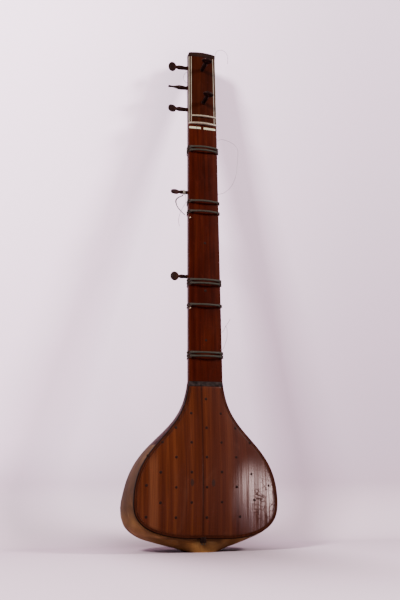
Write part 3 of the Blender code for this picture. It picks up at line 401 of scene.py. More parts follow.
WIRE_ROUTES = {
    "wire_loop_right": (
        (0.0387, 0.017, 1.0487), (0.0459, 0.0165, 1.0557), (0.0579, 0.017, 1.0609), (0.072, 0.018, 1.0595),
        (0.086, 0.019, 1.0552), (0.097, 0.020, 1.0482), (0.103, 0.020, 1.0362), (0.1035, 0.020, 1.0207),
        (0.1002, 0.020, 0.9871), (0.0964, 0.020, 0.9606), (0.0838, 0.020, 0.9317), (0.066, 0.019, 0.9124),
        (0.0518, 0.0175, 0.905), (0.0396, 0.017, 0.9015),
    ),
    "wire_head_right": (
        (0.0374, 0.017, 1.2749), (0.0416, 0.019, 1.2869), (0.0433, 0.021, 1.3059), (0.0482, 0.022, 1.3249),
        (0.0591, 0.020, 1.3309), (0.0707, 0.020, 1.3284), (0.0784, 0.020, 1.3193), (0.0804, 0.020, 1.3079),
        (0.079, 0.020, 1.2917),
    ),
    "wire_head_left": (
        (-0.0372, 0.017, 1.2478), (-0.0418, 0.018, 1.2456), (-0.0465, 0.020, 1.2368),
        (-0.0461, 0.020, 1.2258), (-0.0421, 0.018, 1.218), (-0.0374, 0.017, 1.2158),
    ),
    "wire_low_front": (
        (0.0421, 0.017, 0.5292), (0.0465, 0.018, 0.5307), (0.0537, 0.019, 0.5366), (0.0589, 0.020, 0.546),
        (0.0655, 0.020, 0.5563), (0.0727, 0.020, 0.5675),
    ),
    "wire_low_back": (
        (0.0424, 0.017, 0.4872), (0.0466, 0.018, 0.4875), (0.0522, 0.0195, 0.4907), (0.0581, 0.021, 0.5033),
        (0.0623, 0.020, 0.5171), (0.0637, 0.020, 0.5311), (0.0631, 0.021, 0.544), (0.0595, 0.023, 0.5503),
    ),
}
for wire_name, wire_route in WIRE_ROUTES.items():
    wire_points, wire_length = smooth_route([(x, y - FACE_TO_FOOT, z) for x, y, z in wire_route], 90)
    wire = placed(tube("string_" + wire_name, wire_points, WIRE_DIAMETER), steel, wire_name)
    print(wire.name, round(wire_length, 3), "m")

# %% [markdown]
# One string is still wound on the upper drone peg: three turns round the shaft, a thick tail that
# bends back to the neck and a thin strand that hangs down. All move with the peg. The turns are a
# helix, so their points follow from the shaft's radius and a step along it.

# %% The string left on a peg
DRONE_PEG_Z = NECK_BOTTOM_Z + 0.7244 * NECK_LENGTH
PEG_DEPTH, PEG_SWELL = 0.020, 0.0051
WINDING_TURNS, WINDING_STEP, WINDING_START = 3, 0.0020, 0.0050
pale_string = patchy("pale_string", (0.16, 0.14, 0.11), (0.30, 0.27, 0.22), 260, 0.7)
worn_string = patchy("worn_string", (0.012, 0.009, 0.007), (0.034, 0.026, 0.020), 220, 0.7)
winding_points = []
for k in range(32 * WINDING_TURNS + 1):
    turns = k / 32
    angle = 2 * math.pi * turns - math.pi / 2
    swell = PEG_SWELL + 2 * GAP + WIRE_DIAMETER / 2
    winding_points.append(Vector((
        -neck_half(DRONE_PEG_Z) - WINDING_START - WINDING_STEP * turns,
        PEG_DEPTH - FACE_TO_FOOT + swell * math.cos(angle),
        DRONE_PEG_Z + swell * math.sin(angle),
    )))
winding = placed(tube("string_winding", winding_points, WIRE_DIAMETER), pale_string, "chikari_string_winding")
TAIL_DIAMETER = 0.0013
LOOSE_ENDS = {
    "tail": (
        (0.000, 0.000, 0.000), (-0.0010, 0.0010, -0.0030), (-0.0047, 0.0017, -0.0048), (-0.0108, 0.0027, -0.0078),
        (-0.0157, 0.0027, -0.0123), (-0.0180, 0.0017, -0.0179), (-0.0178, 0.0007, -0.0247),
        (-0.0154, -0.0003, -0.0329), (-0.0106, -0.0013, -0.0408), (-0.0033, -0.0023, -0.0492),
        (0.0046, -0.0033, -0.0566),
    ),
    "strand": (
        (0.000, 0.000, 0.000), (0.0008, -0.0005, -0.0040), (0.0018, 0.0000, -0.0095), (0.0020, 0.0005, -0.0172),
        (0.0008, 0.0015, -0.0238), (-0.0027, 0.0030, -0.0299), (-0.0078, 0.0040, -0.0388),
        (-0.0112, 0.0040, -0.0465), (-0.0141, 0.0040, -0.0548), (-0.0164, 0.0035, -0.0641),
        (-0.0176, 0.0030, -0.0733), (-0.0167, 0.0030, -0.0812), (-0.0150, 0.0030, -0.0871),
    ),
}
beside = Vector((0, ((WIRE_DIAMETER + TAIL_DIAMETER) / 2 + GAP) * 1.05, 0))
loose_starts = {"tail": (winding_points[-1] + beside, TAIL_DIAMETER), "strand": (winding_points[0] - beside, WIRE_DIAMETER)}
for end_name, (start, diameter) in loose_starts.items():
    end_points, end_length = smooth_route([start + Vector(step) for step in LOOSE_ENDS[end_name]], 80)
    end = placed(tube("string_" + end_name, end_points, diameter), worn_string, "chikari_string_" + end_name)
    print(end_name, round(end_length, 3), "m")
    if end_name == "tail":
        for side in range(3):
            turned = []
            for k, point in enumerate(end_points[1:]):
                turn = math.tau * side / 3 + k * 0.50
                spread = 0.0012 - 0.0007 * min(1.0, max(0.0, (k - 28) / 16))
                turned.append(point + spread * Vector((math.cos(turn), math.sin(turn), 0.35 * math.sin(turn))))
            twisted = tube(f"twist_strand_{side}", turned, 0.0017)
            placed(twisted, worn_string, body="peg_chikari_upper", slot="steel_wire")

# %% [markdown]
# The body swells from the foot to a wide belly and narrows again into the neck. Tables of a few
# points, read with a smooth curve, hold the outline of the soundboard, the swell of the gourd past it
# and the fall of its back. A level section at any height then follows from four numbers.

# %% Rules of the body
BOARD_BOTTOM_Z, BOARD_WIDEST_Z, BAND_Z, WAIST_Z = 0.030, 0.120, 0.3905, 0.250
BOARD_HALF, BINDING_WIDTH, BOARD_CROWN, BOARD_DROP = 0.1785, 0.0075, 0.010, 0.005
SEAM_X = -0.0120
BELLY_Z, BACK_Z, BELLY_DEPTH, GOURD_DEPTH = 0.104, 0.132, 0.080, 0.186
GOURD_WALL, SHOULDER_WALL = 0.006, 0.008
LOWER_POWER = 2.8
FLARE = ((0.0, 1.0), (0.10, 0.982), (0.19, 0.940), (0.295, 0.850), (0.40, 0.706), (0.50, 0.527),
         (0.60, 0.341), (0.70, 0.191), (0.80, 0.090), (0.90, 0.033), (1.0, 0.0))
BELLY_RISE = ((0.0, 0.0), (0.08, 0.165), (0.15, 0.35), (0.20, 0.47), (0.28, 0.645), (0.39, 0.79),
              (0.52, 0.895), (0.75, 0.975), (1.0, 1.0))
BULGE_FADE = ((0.0, 1.0), (0.15, 0.66), (0.30, 0.52), (0.46, 0.48), (0.60, 0.24), (0.70, 0.07),
              (0.78, 0.03), (0.88, 0.03), (1.0, 0.03))
BACK_FALL = ((0.0, 1.0), (0.12, 0.975), (0.26, 0.880), (0.42, 0.690), (0.58, 0.440), (0.72, 0.235),
             (0.86, 0.090), (1.0, 0.0))


def smooth_table(table, at):
    """The height at 'at' of a smooth curve through a table's points."""
    xs, ys = np.array(table).T
    slopes = np.gradient(ys, xs)
    at = min(max(at, xs[0]), xs[-1])
    i = min(int(np.searchsorted(xs, at, side="right")) - 1, len(xs) - 2)
    step = xs[i + 1] - xs[i]
    t = (at - xs[i]) / step
    keep = (1 + 2 * t) * (1 - t) ** 2 * ys[i] + t * t * (3 - 2 * t) * ys[i + 1]
    return float(keep + step * (t * (1 - t) ** 2 * slopes[i] - t * t * (1 - t) * slopes[i + 1]))


def eased(value, low, high):
    share = min(max((value - low) / (high - low), 0.0), 1.0)
    return share * share * (3 - 2 * share)


def squared(share, power):
    return max(0.0, 1.0 - min(1.0, abs(share)) ** power) ** (1.0 / power)


def board_half(z):
    """Half width of the soundboard's outline at a height."""
    if z >= BOARD_WIDEST_Z:
        share = (z - BOARD_WIDEST_Z) / (NECK_BOTTOM_Z - BOARD_WIDEST_Z)
        return 0.0432 + (BOARD_HALF - 0.0432) * smooth_table(FLARE, share)
    return BOARD_HALF * squared((BOARD_WIDEST_Z - z) / (BOARD_WIDEST_Z - BOARD_BOTTOM_Z), LOWER_POWER)


def widest_depth(z):
    if z <= BELLY_Z:
        sag = 0.015 * math.sin(math.pi * math.sqrt(z / BELLY_Z))
        return FACE_TO_FOOT + (BELLY_DEPTH - FACE_TO_FOOT) * eased(z, 0.0, 0.030) + sag
    return BELLY_DEPTH + (0.0100 - BELLY_DEPTH) * eased(z, BELLY_Z, NECK_BOTTOM_Z)


def body_section(z):
    """Half width, widest depth, front radius and back radius of the level section at a height."""
    if z <= BELLY_Z:
        half = 0.040 + (BOARD_HALF + 0.016 - 0.040) * smooth_table(BELLY_RISE, z / BELLY_Z)
    else:
        half = board_half(z) + 0.016 * smooth_table(BULGE_FADE, (z - BELLY_Z) / (NECK_BOTTOM_Z - BELLY_Z))
    widest = widest_depth(z)
    if z <= BACK_Z:
        peak = GOURD_DEPTH - widest_depth(BACK_Z)
        reach = BACK_Z / (1 - (0.038 / peak) ** ROUND_POWER) ** (1 / ROUND_POWER)
        back = peak * squared((BACK_Z - z) / reach, ROUND_POWER)
    else:
        share = (z - BACK_Z) / (NECK_BOTTOM_Z - BACK_Z)
        back = 0.050 + (GOURD_DEPTH - 0.050) * smooth_table(BACK_FALL, share) - widest
    if z < BOARD_BOTTOM_Z:
        front = 0.038 + (widest - RIM - 0.038) * math.sqrt(1 - (1 - z / BOARD_BOTTOM_Z) ** 2)
    else:
        front = (widest - RIM) / math.sqrt(1 - min(0.9999, (board_half(z) / half) ** 2))
    return half, widest, front, back


def body_ring(z, inset=0.0, sides=144):
    """The closed level section of the body. With an inset it is the inside of a wall of that thickness."""
    half, widest, front, back = body_section(max(0.0, z - inset * max(0.0, 1 - (z - inset) / BELLY_Z)))
    ring = []
    for k in range(sides):
        turn = 2 * math.pi * k / sides
        x, y = math.cos(turn), math.sin(turn)
        if y > 0:
            x = math.copysign(abs(x) ** (2 / ROUND_POWER), x)
            y = y ** (2 / ROUND_POWER)
        depth = widest + y * ((back if y > 0 else front) - inset)
        ring.append(Vector(((half - inset) * x, depth - FACE_TO_FOOT, z)))
    return ring


print("soundboard", round(2000 * BOARD_HALF), "mm wide, gourd", round(1000 * GOURD_DEPTH), "mm deep")

# %% [markdown]
# The gourd is a real fruit, dried and cut open, so its skin isn't quite even: it has shallow hollows
# of up to a millimetre. A loft through fine level sections makes the skin, smooth noise moves each
# point a little inwards, and two cuts hollow it and open its front. Sculpting would do as well, but
# this way the rim stays exactly where the soundboard needs it.

# %% Gourd
def gourd_skin():
    """Tan brown skin, greyer at the sides and golden below, with speckles, stains and fine scratches; below it is also
    painted much brighter, as painted bounce light from the floor.
    """
    n = Finish("gourd_skin")
    mottle = n.noise(17, 5, (1, 1, 0.7), 0.9)
    stain = n.noise(6, 4, (1, 1, 0.5), 1.2, place=(3, 1, 2))
    fine = n.noise(330, 3)
    scratch = n.noise(70, 2, (1, 1, 0.06), 1.4, place=(7, 0, 0))
    z = n.axis("Z")
    upper = n.ramp(mottle, (0.28, (0.0130, 0.0053, 0.0020)), (0.52, (0.0285, 0.0122, 0.0044)), (0.76, (0.056, 0.0260, 0.0098)))
    lower = n.ramp(mottle, (0.28, (0.072, 0.0290, 0.0090)), (0.52, (0.160, 0.0720, 0.0210)), (0.76, (0.265, 0.1320, 0.0430)))
    # Golden and far brighter below: partly the skin's own colour, partly painted bounce light from the floor.
    colour = n.mix(n.spread(z, 0.025, 0.110), lower, upper)
    colour = n.mix(n.ramp(stain, (0.50, 0.0), (0.72, 0.75)), colour, (0.020, 0.0085, 0.0045))
    colour = n.mix(n.ramp(fine, (0.55, 0.0), (0.80, 0.40)), colour, (0.018, 0.0080, 0.0042))
    colour = n.mix(n.ramp(scratch, (0.66, 0.0), (0.74, 0.30)), colour, (0.130, 0.080, 0.050))
    colour = n.mix(n.spread(n.axis("Y"), 0.013 - FACE_TO_FOOT, 0.006 - FACE_TO_FOOT, 0.0, 0.35), colour,
                   (0.012, 0.0055, 0.0035))
    n.bump(n.mix(0.45, mottle, fine), 0.0005, 0.4)
    return n.finish(colour, n.ramp(stain, (0.3, 0.55), (0.8, 0.70)), coat=0.0, specular=0.05)


def hollowed(point):
    """A point of the gourd's skin, moved in by up to a millimetre away from its rims and its foot."""
    keep = (eased(point.y, RIM - FACE_TO_FOOT + 0.001, RIM - FACE_TO_FOOT + 0.020)
            * eased(point.z, 0.003, 0.014) * eased(point.z, WAIST_Z - 0.001, WAIST_Z - 0.014))
    depth = 0.0005 + 0.0005 * noise.noise(point * 15) + 0.0002 * noise.noise(point * 47)
    inwards = Vector((-point.x, BELLY_DEPTH - FACE_TO_FOOT - point.y, 0)).normalized()
    return point + inwards * keep * depth


def box_tool(low, high):
    work = bmesh.new()
    bmesh.ops.create_cube(work, size=1.0)
    for corner in work.verts:
        corner.co = Vector(low[k] if corner.co[k] < 0 else high[k] for k in range(3))
    return closed_piece("box_tool", work)


def front_tool():
    """Everything in front of the edge that the face plates sit on."""
    return box_tool((-0.4, -0.5, -0.1), (0.4, RIM - FACE_TO_FOOT, 1.0))


skin_levels = [BELLY_Z * (1 - math.cos(math.pi / 2 * k / 36)) for k in range(37)]
skin_levels += [BELLY_Z + (WAIST_Z - BELLY_Z) * k / 28 for k in range(1, 29)]
room_levels = [GOURD_WALL + (BELLY_Z - GOURD_WALL) * (1 - math.cos(math.pi / 2 * k / 20)) for k in range(21)]
room_levels += [BELLY_Z + (WAIST_Z - BELLY_Z) * k / 14 for k in range(1, 14)] + [WAIST_Z + GOURD_WALL]
skin = lofted("gourd_bowl", [[hollowed(point) for point in body_ring(z)] for z in skin_levels])
room = lofted("gourd_room", [body_ring(z, GOURD_WALL, 96) for z in room_levels])
gourd = placed(worked(skin, [room, front_tool()]), gourd_skin(), "gourd_shell")

# %% [markdown]
# Above the waist the body is carved wood, varnished like the neck. The varnish is a deep red brown
# that looks nearly black where it turns away, with fine grain lines, worn paler patches and a gloss
# that has dulled unevenly. Two noises stretched along the neck draw the grain.

# %% Shoulder
def neck_varnish(name, dark, middle, light, gloss=0.22):
    n = Finish(name)
    grain = n.noise(1.0, 3, (620, 620, 11), 0.25)
    streak = n.noise(1.0, 3, (85, 85, 1.6), 0.5, place=(4, 2, 0))
    patches = n.noise(11, 4, (1, 1, 0.40), 0.6)
    rubbed = n.noise(55, 4, (1, 1, 0.5), 0.8, place=(1, 5, 3))
    tone = n.mix(0.5, streak, patches)
    colour = n.ramp(tone, (0.36, dark), (0.50, middle), (0.64, light))
    colour = n.mix(n.ramp(grain, (0.42, 0.0), (0.72, 0.55)), colour, tuple(0.35 * v for v in dark))
    colour = n.mix(n.ramp(rubbed, (0.60, 0.0), (0.78, 0.30)), colour, tuple(2.0 * v for v in middle))
    n.bump(n.mix(0.4, grain, rubbed), 0.00015, 0.35)
    rough = n.ramp(rubbed, (0.30, gloss + 0.08), (0.75, gloss + 0.22))
    return n.finish(colour, rough, coat=0.0, specular=0.012)


dark_varnish = neck_varnish("neck_varnish", (0.0067, 0.0008, 0.0003), (0.0133, 0.0015, 0.0005), (0.0200, 0.0029, 0.0008))
bottom, top = WAIST_Z + GAP, NECK_BOTTOM_Z - GAP
levels = [bottom + (top - bottom) * k / 24 for k in range(25)]
skin = lofted("shoulder_wood", [body_ring(z) for z in levels])
room_levels = [bottom - SHOULDER_WALL] + levels[2:-1:2] + [top + SHOULDER_WALL]
room = lofted("shoulder_room", [body_ring(z, SHOULDER_WALL, 96) for z in room_levels])
shoulder = placed(worked(skin, [room, front_tool()]), dark_varnish, "shoulder")

# %% [markdown]
# The soundboard is two planks, joined a little left of the middle, that rise to a low dome. Each half
# is a grid of points on the dome. A Solidify wall gives it its thickness and a tiny bevel breaks its
# edges, so the joint catches the light as a fine line. The distance of every point to the outline is
# stored on the mesh, because dirt gathers along the edge strip and the finish has to know where it is.

# %% Soundboard
def face_y(x, z):
    """The outer surface of the face: the soundboard's dome below, the neck's slight crown above."""
    if z >= NECK_BOTTOM_Z:
        return -FACE_TO_FOOT - PLATE_CROWN * (1 - (x / neck_half(z)) ** 2)
    share = max(0.0, (z - BOARD_BOTTOM_Z) / (NECK_BOTTOM_Z - BOARD_BOTTOM_Z))
    rise = BOARD_CROWN * math.sin(math.pi * share ** 0.75) + PLATE_CROWN * share
    return -FACE_TO_FOOT - rise * (1 - min(1.0, (x / max(board_half(z), 1e-4)) ** 2))


def board_point(x, z):
    """A point of the soundboard's outer surface, whose lower edge is tilted."""
    fade = max(0.0, (BOARD_WIDEST_Z - z) / (BOARD_WIDEST_Z - BOARD_BOTTOM_Z))
    return Vector((x, face_y(x, z), z - BOARD_DROP * x / BOARD_HALF * fade))


def outline(inset, corner_steps=26, flare_steps=54):
    """The soundboard's right-hand outline, bottom to top, moved inwards by 'inset'."""
    points = []
    first = math.asin(0.30 ** (LOWER_POWER / 2))
    for k in range(corner_steps + 1):
        turn = first + (math.pi / 2 - first) * k / corner_steps
        points.append(Vector((
            BOARD_HALF * math.sin(turn) ** (2 / LOWER_POWER),
            BOARD_WIDEST_Z - (BOARD_WIDEST_Z - BOARD_BOTTOM_Z) * math.cos(turn) ** (2 / LOWER_POWER),
        )))
    for k in range(1, flare_steps + 1):
        z = BOARD_WIDEST_Z + (BAND_Z - BOARD_WIDEST_Z) * k / flare_steps
        points.append(Vector((board_half(z), z)))
    moved = []
    for i, point in enumerate(points):
        along = points[min(i + 1, len(points) - 1)] - points[max(i - 1, 0)]
        moved.append(point + Vector((-along.y, along.x)).normalized() * inset)
    moved[0].x = points[0].x
    moved[-1].y = BAND_Z
    return moved


def sheet(name, rows):
    """An open surface through rows of equally many points, facing the player."""
    work = bmesh.new()
    made = [[work.verts.new(point) for point in row] for row in rows]
    for low, high in zip(made, made[1:]):
        for k in range(len(low) - 1):
            work.faces.new((low[k], low[k + 1], high[k + 1], high[k]))
    mesh = bpy.data.meshes.new(name)
    work.to_mesh(mesh)
    work.free()
    if sum(face.normal.y for face in mesh.polygons) > 0:
        mesh.flip_normals()
    return bpy.data.objects.new(name, mesh)


def mark_distance(piece, name, points):
    """Stores each point's distance, seen from the front, to a line through 'points'."""
    spots = np.empty(len(piece.data.vertices) * 3)
    piece.data.vertices.foreach_get("co", spots)
    spots = spots.reshape(-1, 3)[:, [0, 2]]
    a, b = np.array(points[:-1]), np.array(points[1:])
    nearest = np.full(len(spots), 1.0)
    for start, step in zip(a, b - a):
        share = np.clip((spots - start) @ step / (step @ step), 0.0, 1.0)
        nearest = np.minimum(nearest, np.linalg.norm(spots - start - share[:, None] * step, axis=1))
    stored = piece.data.attributes.new(name, "FLOAT", "POINT")
    stored.data.foreach_set("value", nearest.astype(np.float32))


def tilted(x, z):
    point = board_point(x, z)
    return (point.x, point.z)


edge_line = [tilted(-p.x, p.y) for p in reversed(outline(0.0))] + [tilted(p.x, p.y) for p in outline(0.0)]
inner = outline(BINDING_WIDTH + GAP)
boards = []
for side, start in ((-1, SEAM_X - GAP / 2), (1, SEAM_X + GAP / 2)):
    rows = [[board_point(start + (side * x - start) * k / 36, z) for k in range(37)] for x, z in inner]
    half_board = worked(sheet("board_left" if side < 0 else "board_right", rows), wall=PLATE_THICKNESS, bevel=0.0002)
    mark_distance(half_board, "from_edge", edge_line)
    boards.append(half_board)
print("outline of", len(edge_line), "points")

# %% [markdown]
# The board's finish has layers, as the real one has: bands of paler and darker wood along the grain,
# one strip of orange sapwood at the left, fine grain lines, dirt beside the joint and along the edge,
# two smudges where the bridge's feet stood, and a varnish that is rubbed matt in places and crazed at
# the lower right, where an arm has rested. Each layer is one mix over the last.

# %% Finish of the soundboard
def board_varnish():
    n = Finish("board_varnish")
    x, z = n.axis("X"), n.axis("Z")
    plank = n.noise(1.0, 2, (30, 0, 0.7), 0.15)
    band = n.noise(1.0, 2, (115, 0, 1.1), 0.3, place=(2, 0, 0))
    grain = n.noise(1.0, 3, (760, 0, 9), 0.2)
    wear = n.noise(26, 5, (1, 1, 0.35), 0.7)
    tone = n.mix(0.45, plank, band)
    colour = n.ramp(tone, (0.36, (0.0128, 0.0025, 0.0011)), (0.50, (0.0235, 0.0050, 0.0018)), (0.64, (0.0355, 0.0086, 0.0028)))
    sapwood = n.math("MULTIPLY", n.spread(x, -0.1455, -0.1385), n.spread(x, -0.1250, -0.1170, 1.0, 0.0))
    sapwood = n.math("MULTIPLY", sapwood, n.spread(z, 0.250, 0.200))
    colour = n.mix(n.math("MULTIPLY", sapwood, 0.70), colour, (0.0500, 0.0155, 0.0062))
    # Towards the right the colour turns a greyer purple: partly the wood's own tone, partly a painted sheen of the
    # varnish.
    colour = n.mix(n.spread(x, -0.03, 0.12, 0.0, 0.65), colour, (0.0166, 0.0048, 0.0038))
    colour = n.mix(n.ramp(grain, (0.44, 0.0), (0.72, 0.55)), colour, (0.0080, 0.0016, 0.0009))
    colour = n.mix(n.ramp(wear, (0.62, 0.0), (0.80, 0.30)), colour, (0.0400, 0.0145, 0.0080))
    joint = n.math("ABSOLUTE", n.math("SUBTRACT", x, SEAM_X))
    dirt = n.math("MULTIPLY", n.spread(joint, 0.0034, 0.0005, 0.0, 0.75), n.ramp(wear, (0.30, 0.25), (0.60, 1.0)))
    colour = n.mix(dirt, colour, (0.0060, 0.0020, 0.0014))
    colour = n.mix(n.spread(n.marked("from_edge"), 0.014, 0.0075, 0.0, 0.25), colour, (0.0100, 0.0028, 0.0016))
    for foot_x, foot_z in ((-0.0393, 0.1612), (0.0129, 0.1594)):
        mark = n.math("MULTIPLY", n.spot(foot_x, foot_z, 0.0042, 0.0085, 0.6), 0.75)
        colour = n.mix(mark, colour, (0.0075, 0.0048, 0.0040))
    crack = n.math("MULTIPLY", n.spot(0.1640, 0.1308, 0.0095, 0.00055, 0.4), 0.9)
    colour = n.mix(crack, colour, (0.007, 0.003, 0.0024))
    arm = n.spot(0.140, 0.118, 0.068, 0.090, 1.0)
    crazing = n.spread(n.cells(85, (0.7, 1, 1)), 0.0, 0.080, 0.95, 0.0)
    crazing = n.math("MULTIPLY", crazing, n.spot(0.148, 0.112, 0.036, 0.056, 0.8))
    crazing = n.math("MULTIPLY", crazing, n.ramp(wear, (0.42, 0.1), (0.58, 1.0)))
    colour = n.mix(n.math("MULTIPLY", crazing, 0.75), colour, (0.010, 0.0045, 0.0036))
    streaks = n.ramp(n.noise(1.0, 3, (170, 0, 5), 0.3, place=(9, 0, 4)), (0.40, 0.12), (0.62, 1.0))
    scuffs = n.noise(95, 4, (1, 1, 0.30), 1.2, place=(0, 3, 1))
    relief = n.math("ADD", n.math("MULTIPLY", crazing, -0.55), n.math("MULTIPLY", scuffs, 0.6))
    relief = n.math("ADD", relief, n.math("MULTIPLY", grain, 0.45))
    n.bump(relief, 0.00035, 0.45)
    rough = n.math("ADD", n.spread(wear, 0.35, 0.75, 0.30, 0.50), n.math("MULTIPLY", crazing, 0.15))
    polished = n.math("MULTIPLY", arm, n.math("SUBTRACT", streaks, crazing))
    gloss = n.math("ADD", 0.03, n.math("MAXIMUM", polished, 0.0))
    gloss = n.math("MULTIPLY", gloss, n.spread(joint, 0.0006, 0.0016))
    return n.finish(colour, rough, coat=gloss, coat_roughness=0.24, specular=0.015)


board_finish = board_varnish()
for half_board, node in zip(boards, ("soundboard_left", "soundboard_right")):
    placed(half_board, board_finish, node)
print("soundboard dressed")

# %% [markdown]
# A strip of the same wood runs round the board and hides the joint with the gourd. Its outer corner is
# rounded by handling, and its finish is nearly black there. A loft of many small cross sections along
# the outline gives it that round corner, which a flat strip with a bevel can't follow where the dome lifts.

# %% Edge strip
EDGE_ROUND = 0.0016


def strip_section(outside, inside):
    """A closed cross section of the edge strip, from its inner corner over the rounded outer one."""
    out_point, in_point = board_point(*outside), board_point(*inside)
    width = (out_point - in_point).length
    ring = [in_point + Vector((0, 0.0003, 0)), in_point.lerp(out_point, 0.05)]
    ring += [in_point.lerp(out_point, share) for share in (0.3, 0.55, 1 - EDGE_ROUND / width)]
    for k in range(1, 6):
        turn = math.pi / 2 * k / 5
        place = in_point.lerp(out_point, 1 - EDGE_ROUND / width * (1 - math.sin(turn)))
        ring.append(place + Vector((0, EDGE_ROUND * (1 - math.cos(turn)), 0)))
    back = PLATE_THICKNESS - FACE_TO_FOOT
    ring.append(Vector((out_point.x, back, out_point.z)))
    ring.append(Vector((in_point.x, back, in_point.z)))
    return ring


pairs = list(zip(outline(0.0), outline(BINDING_WIDTH)))
sections = [strip_section((-a.x, a.y), (-b.x, b.y)) for a, b in reversed(pairs)]
sections += [strip_section(tuple(a), tuple(b)) for a, b in pairs]
strip = lofted("edge_strip", sections)
mark_distance(strip, "from_edge", edge_line)


def strip_varnish():
    n = Finish("strip_varnish")
    grain = n.noise(300, 3, (1, 1, 0.2), 0.5)
    wear = n.noise(45, 4)
    colour = n.ramp(grain, (0.35, (0.0085, 0.0018, 0.0008)), (0.70, (0.0190, 0.0045, 0.0018)))
    # The rounded outer corner is coloured nearly black.
    colour = n.mix(n.spread(n.marked("from_edge"), 0.0026, 0.0012), colour, (0.0020, 0.0010, 0.0008))
    colour = n.mix(n.ramp(wear, (0.62, 0.0), (0.78, 0.40)), colour, (0.0340, 0.0130, 0.0075))
    n.bump(wear, 0.0002, 0.4)
    return n.finish(colour, n.ramp(wear, (0.3, 0.42), (0.8, 0.60)), coat=0.0, specular=0.012)


placed(strip, strip_varnish(), "soundboard_binding")

# %% [markdown]
# Where soundboard and neck meet lies a dark plate, rubbed grey in the middle by the hand. It is one
# more bevelled plate with the crown of the face, and its finish is a dark one with a worn grey layer.

# %% Dark band
def worn_black(name, dark, worn, start, full):
    n = Finish(name)
    rubbed = n.noise(75, 5, (1, 1, 0.8), 0.9)
    fine = n.noise(420, 3, (0.4, 1, 1))
    colour = n.mix(n.ramp(rubbed, (start, 0.0), (full, 1.0)), dark, worn)
    colour = n.mix(n.ramp(fine, (0.50, 0.0), (0.75, 0.6)), colour, tuple(0.5 * v for v in dark))
    n.bump(n.mix(0.5, rubbed, fine), 0.0003, 0.5)
    return n.finish(colour, n.ramp(rubbed, (0.3, 0.45), (0.7, 0.65)), coat=0.0, specular=0.015)


rows = []
for k in range(5):
    z = BAND_Z + GAP + (NECK_BOTTOM_Z - BAND_Z - 2 * GAP) * k / 4
    rows.append([Vector((board_half(z) * (j / 16 - 1), face_y(board_half(z) * (j / 16 - 1), z), z)) for j in range(33)])
band = worked(sheet("dark_band", rows), wall=PLATE_THICKNESS, bevel=0.0005)
placed(band, worn_black("band_black", (0.0028, 0.0019, 0.0017), (0.0120, 0.0080, 0.0072), 0.38, 0.62), "joint_band")

# %% [markdown]
# The neck is a trough with a round back, closed in front by two plates. A real one is carved out and
# its pegs run through the wall to a small seat on the far side. Here a loft through many sections makes
# the trough, and one tool holds all the drills, so that a single cut opens every hole.

# %% Neck
NECK_WALL, PEG_BORE, PEG_SEAT_BORE, PEG_TIP_DEPTH = 0.007, 0.0096, 0.0064, 0.0035
NUT_LENGTH = 0.0048
HEAD_PEG, FRONT_PEG, DRONE_PEG = (0.0518, 0.0058, 0.0138), (0.0600, 0.0058, 0.0138), (0.0430, PEG_SWELL, 0.0121)
SIDE_PEGS = {
    "peg_side_upper": (NUT_Z + 0.1703, HEAD_PEG, 0.0),
    "peg_side_middle": (NUT_Z + 0.1108, HEAD_PEG, 63.0),
    "peg_side_lower": (NUT_Z + 0.0472, HEAD_PEG, 22.0),
    "peg_chikari_upper": (DRONE_PEG_Z, DRONE_PEG, 41.0),
    "peg_chikari_lower": (NECK_BOTTOM_Z + 0.3926 * NECK_LENGTH, DRONE_PEG, 4.0),
}
FRONT_PEGS = {"peg_front_upper": (-0.0010, NUT_Z + 0.1583, 82.0), "peg_front_lower": (0.0016, NUT_Z + 0.0618, 80.0)}
POSTS = {
    "chikari_post_upper": NECK_BOTTOM_Z + 0.6131 * NECK_LENGTH,
    "chikari_post_lower": NECK_BOTTOM_Z + 0.2662 * NECK_LENGTH,
}
TO_LEFT, TO_FRONT = Matrix.Rotation(-math.pi / 2, 4, "Y"), Matrix.Rotation(math.pi / 2, 4, "X")


def levels_between(low, high, step):
    count = max(1, round((high - low) / step))
    return [low + (high - low) * k / count for k in range(count + 1)]


def side_peg_frame(name):
    """Where a side peg leaves the neck, and how far it reaches in."""
    z = SIDE_PEGS[name][0]
    return (Matrix.Translation((-neck_half(z), PEG_DEPTH - FACE_TO_FOOT, z)) @ TO_LEFT,
            2 * neck_half(z) - NECK_WALL + PEG_TIP_DEPTH)


def front_peg_frame(name):
    x, z, _ = FRONT_PEGS[name]
    return (Matrix.Translation((x, -FACE_TO_FOOT - PLATE_CROWN, z)) @ TO_FRONT,
            neck_depth(z) + PLATE_CROWN - NECK_WALL + PEG_TIP_DEPTH)


drills = bmesh.new()
for name in SIDE_PEGS:
    spot, inside = side_peg_frame(name)
    rod(drills, PEG_BORE / 2, -2 * NECK_WALL, NECK_WALL, spot)
    rod(drills, PEG_SEAT_BORE / 2, -inside - GAP, -inside + 2 * NECK_WALL, spot)
for name in FRONT_PEGS:
    spot, inside = front_peg_frame(name)
    rod(drills, PEG_SEAT_BORE / 2, -inside - GAP, -inside + 2 * NECK_WALL, spot)
trough_rings = [neck_path(z) + list(reversed(neck_path(z, -NECK_WALL)))
                for z in levels_between(NECK_BOTTOM_Z, CAP_Z - GAP, 0.015)]
trough = worked(lofted("neck_body", trough_rings), [closed_piece("neck_drills", drills)])
placed(trough, dark_varnish, "neck_trough")

# %% [markdown]
# The face of the neck is a plate with a slight crown, and its long edges are rounded where the left
# hand slides. Grooves for the inlays and holes for the pins and front pegs are cut into it. A groove is
# the inlay's own shape, drawn a little larger, so both follow the crown together.

